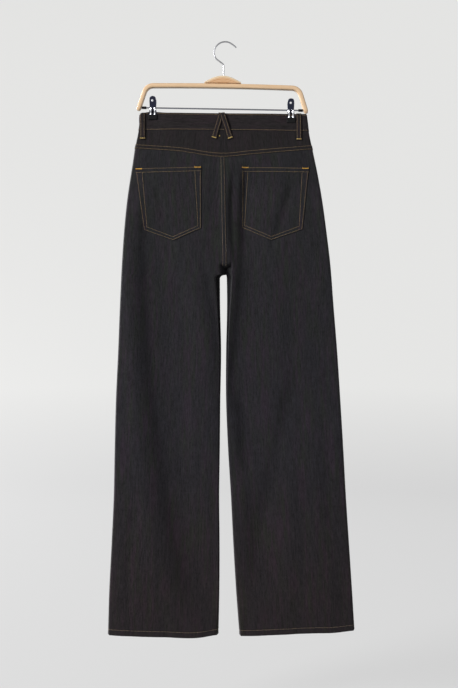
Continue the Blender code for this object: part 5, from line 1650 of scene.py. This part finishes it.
for word, half in HALVES.items():
    ends = sorted(half * (arm_face - STOPPER_GAP - length) for length in (0, STOPPER_LENGTH))
    obj = sleeve(f"stopper_{word}", *ends, STOPPER_DIAMETER, ROD_WIRE + 2 * GAP, STOPPER_EDGE,
                 RUBBER)
    hard_piece(obj, [f"rod_stopper_{word}"])
print("stoppers made")

# %% Springs, jaws and pads
PAD_WIDTH, PAD_HEIGHT, PAD_FACE = 18 * MM, 10.5 * MM, 7.2 * MM
BOOT_FACE, BOOT_EDGE, BOOT_ROUNDING = PAD_FACE + 2.4 * MM, 1.4 * MM, 1.3 * MM
BOOT_RIB, BOOT_RIB_PITCH = 0.3 * MM, 1.9 * MM
JAW_STEEL, JAW_STANDOFF, JAW_EDGE, JAW_EDGE_SHARE = 1.1 * MM, PAD_FACE + GAP, 0.5 * MM, 0.1
RIB_RISE, STUD_RISE, STUD_WIDTH, DISH = 1.0 * MM, 0.8 * MM, 1.9 * MM, 0.9 * MM
BARREL_DIAMETER, BARREL_LENGTH, SPRING_WIRE, SPRING_TURNS = 7 * MM, 11 * MM, 1.1 * MM, 8
Station = namedtuple("Station", "height out half_width")


def along_rod(across):
    """Distance from the rod's middle at this X."""
    return (across - rod_middle[0]) / rod_way[0]


def spring(name, clip):
    """A close coil round the rod."""
    turn = np.linspace(0, 2 * math.pi * SPRING_TURNS, SPRING_TURNS * 20)
    start = along_rod(clip.across * MM) - BARREL_LENGTH / 2 + SPRING_WIRE / 2
    place = start + (BARREL_LENGTH - SPRING_WIRE) * turn / turn[-1]
    out = rod_spokes(turn)
    line = rod_middle + place[:, None] * rod_way + (BARREL_DIAMETER - SPRING_WIRE) / 2 * out
    over = np.cross(unit(np.gradient(line, axis=0)), out)
    ring = circle(8) * SPRING_WIRE / 2
    rings = line[:, None] + ring[None, :, :1] * out[:, None] + ring[None, :, 1:] * over[:, None]
    return loft(name, rings, STEEL)


def jaw(name, clip, ply):
    """A pressed plate: finger tab, waist at the rod, ribs, and a tip that flares into its boot."""
    across = clip.across * MM
    rod_z = float(rod_middle[2] + rod_way[2] * along_rod(across))
    tip = clip.pad_top - rod_z / MM - 2.0
    stations = [
        Station(22.4, 10.6, 0.6), Station(22.1, 10.5, 2.6), Station(21.1, 10.2, 4.7),
        Station(19.2, 9.6, 6.1), Station(16.0, 8.6, 6.7), Station(8.0, 6.4, 6.7),
        Station(2.5, 4.9, 6.5), Station(-2.0, 4.6, 6.4), Station(-6.0, 5.2, 6.9),
        Station(tip + 3.5, JAW_STANDOFF / MM, 8.4), Station(tip, JAW_STANDOFF / MM + 0.1, 8.7),
    ]
    out_at = column(stations, "out", "height")
    wide_at = column(stations, "half_width", "height")
    down = edge_lines((22.4 - tip) * MM, 0.7 * MM, 0.5 * MM)[:, None]
    height = (22.4 - down * (22.4 - tip)) * MM
    share = (edge_lines(14 * MM, 0.6 * MM, 0.5 * MM) * 2 - 1)[None, :]
    x = wide_at(height) * share
    rib = RIB_RISE * bump_of((np.abs(x) - RIB_PLACE) / RIB_WIDTH)
    rib = rib * ease((1.5 * MM - height) / (3 * MM)) * ease((height - (tip + 0.5) * MM) / (2 * MM))
    dish = DISH * (1 - share**2) * ease((height - 6 * MM) / (6 * MM))
    stud = STUD_RISE * bump_of(np.hypot(x + STUD_PLACE, height - STUD_HEIGHT) / STUD_WIDTH)
    out = out_at(height) + rib + dish + stud
    points = np.stack([across + x, -ply * out, rod_z + height + 0 * x], axis=-1)
    lean = np.gradient(out_at(height)[:, 0], height[:, 0])
    size = np.sqrt(1 + lean**2)
    back = np.stack([0 * lean, ply / size, lean / size], axis=1)[:, None, :] * JAW_STEEL
    near = quarter_round(edge_distance(points) / JAW_EDGE)
    near = (JAW_EDGE_SHARE + (1 - JAW_EDGE_SHARE) * near)[..., None]
    flat = np.stack([x, height + 0 * x], axis=-1)
    return wall(name, points + back * (1 - near) / 2, points + back * (1 + near) / 2, flat,
                (CLIP_STEEL_PAINTED_REFLECTIONS,))


def pad(name, clip, half, ply):
    """A ribbed rubber boot over the jaw's tip, whose inside follows the waistband."""
    columns, rows = 44, 30
    x = clip.across * MM + PAD_WIDTH * (np.linspace(0, 1, columns)[None, :] - 0.5)
    z = clip.pad_top * MM - PAD_HEIGHT * np.linspace(0, 1, rows)[:, None]
    x, z = np.broadcast_arrays(x, z)
    inner = cloth(half, ply * around_at(half, x, z), z, BAND_PROUD + LAY_GAP)
    inner[..., 0], inner[..., 2] = x, z
    outer = inner.copy()
    outer[..., 1] = -ply * BOOT_FACE
    near = np.clip(edge_distance(outer) / BOOT_EDGE, 0, 1)
    outer[..., 1] += ply * BOOT_ROUNDING * (1 - quarter_round(near))
    outer[..., 1] += ply * BOOT_RIB * (0.5 + 0.5 * np.cos(z / BOOT_RIB_PITCH * 2 * math.pi)) * near
    return wall(name, outer, inner, flat_of(outer), (RUBBER,))


for word, clip in CLIPS.items():
    half = HALVES[word]
    node = f"clip_{word}"
    hard_piece(spring(f"{node}_spring", clip), [f"{node}_barrel"])
    for side, ply in PLIES.items():
        plate = jaw(f"jaw_{word}_{side}", clip, ply)
        hard_piece(plate, [f"{node}_jaw_{side}"])
        boot = pad(f"pad_{word}_{side}", clip, half, ply)
        hard_piece(boot, [f"{node}_pad_{side}"])
    print("clip", word, "made")

# %% [markdown]
# ## Button and buttonhole
# The waist closes with a domed brass button on a shank. A turned profile gives its rolled rim and
# its shallow dish. The buttonhole is worked round with close stitches, from the same stitch tree.

# %% Button
BUTTON_X, HOLE_SHIFT, HOLE_HEIGHT = 15 * MM, 2 * MM, 1.7 * MM
HOLE_TO_EDGE, HOLE_INWARD = 12.5 * MM, 11.5 * MM
BUTTON_PROFILE = [
    (0.0, 3.2), (1.6, 3.18), (3.2, 3.05), (4.6, 2.75), (5.2, 2.5), (5.7, 2.55), (6.5, 2.7),
    (7.4, 2.5), (8.2, 1.9), (8.5, 1.3), (8.4, 0.7), (7.9, 0.25), (7.2, 0.0), (0.0, 0.0),
]
button_x = centre_x - BUTTON_X
button_z = (front_seam(button_x) + column(BAND_TOP, "front", "across")(button_x)) / 2
spot = on_ply(FRONT, np.array(button_x), np.array(button_z), BAND_PROUD + LAY_GAP)
placed = Matrix.Translation(spot.tolist()) @ Matrix.Rotation(math.radians(-90), 4, "X")
profile = np.array(BUTTON_PROFILE) * MM
button = lathe("button_brass", profile.tolist(), 56, 0.005 * MM, BRASS, placed)
hard_piece(button, ["button"])
hole = Paths()
turn = np.linspace(0, 2 * math.pi, 60)
reach = np.where(np.cos(turn) > 0, HOLE_TO_EDGE, HOLE_INWARD)
ring = [button_x + HOLE_SHIFT + reach * np.cos(turn), button_z + HOLE_HEIGHT * np.sin(turn)]
hole.over(FRONT, np.stack(ring, axis=1), BAND_PROUD + SEWN_LIFT)
hole.stitched("buttonhole_thread", 0.55 * MM, 2.0 * MM, 0.5 * MM, turn=math.radians(90), seed=11)
print("button at", round(float(button_x), 4), round(float(button_z), 4))

# %% [markdown]
# ## Studio
# A pale floor that curves up into a pale backdrop all round gives an even ground from every side.
# Broad lamps in front and above light the dark cloth softly, so that folds show without hard edges.

# %% Floor, lamps and camera
FLOOR_LEVEL = -1.42
SWEEP_FLAT, SWEEP_BEND, SWEEP_TOP = 3.6, 2.4, 5.0
MIDDLE = (0.008, 0.0, -0.627)
PICTURE_HEIGHT, CAMERA_DISTANCE = 688 * 2.08 * MM, 2.2


def studio_paint():
    """Bright from the floor up, so that the backdrop is even whatever the lamps do."""
    paint = Finish("Studio paint", Base_Color=(0.15, 0.15, 0.15, 1), Roughness=0.9,
                   Specular_IOR_Level=0.0, Emission_Strength=1.0)
    up = (paint.split(paint.place()).other(2) * 2 - FLOOR_LEVEL * 2).clipped()
    paint.feed("Emission Color", paint.blend(up, (0.55, 0.55, 0.55), (0.665, 0.665, 0.655)))
    return paint.material


def lamp(name, place, size, power):
    """A round area lamp that looks at the middle of the jeans."""
    data = bpy.data.lights.new(name, "AREA")
    data.shape, data.size, data.energy = "DISK", size, power
    obj = linked(name, data)
    obj.location = place
    obj.rotation_euler = (Vector(MIDDLE) - Vector(place)).to_track_quat("-Z", "Y").to_euler()
    obj.visible_camera = False


bend = [(SWEEP_FLAT + SWEEP_BEND * math.sin(t), FLOOR_LEVEL + SWEEP_BEND * (1 - math.cos(t)))
        for t in np.radians(np.linspace(0, 90, 12))]
profile = [(0.0, FLOOR_LEVEL), (SWEEP_FLAT / 2, FLOOR_LEVEL), *bend,
           (SWEEP_FLAT + SWEEP_BEND, SWEEP_TOP)]
sweep = lathe("studio_sweep", profile, 96, 1 * MM, studio_paint())
sweep.visible_diffuse = sweep.visible_shadow = False

for word, side in (("back", -1), ("front", 1)):
    lamp(f"{word}_key_lamp", (-4.9, side * 3.6, 1.5), 2.0, 470)
    lamp(f"{word}_fill_lamp", (3.2, side * 2.0, 0.0), 2.2, 20)
world = bpy.data.worlds.new("Pale surround")
world.use_nodes = True
surround = world.node_tree.nodes["Background"]
surround.inputs["Color"].default_value = (0.92, 0.93, 0.95, 1)
surround.inputs["Strength"].default_value = 0.13
bpy.context.scene.world = world
bpy.context.scene.view_settings.view_transform = "Standard"

camera_data = bpy.data.cameras.new("camera")
camera_data.sensor_width = 36
camera_data.lens = camera_data.sensor_width * CAMERA_DISTANCE / PICTURE_HEIGHT
camera = linked("camera", camera_data)
camera.location = (MIDDLE[0], -CAMERA_DISTANCE, MIDDLE[2])
camera.rotation_euler = (math.radians(90), 0, 0)
bpy.context.scene.camera = camera
print("camera lens:", round(camera_data.lens, 1), "mm")
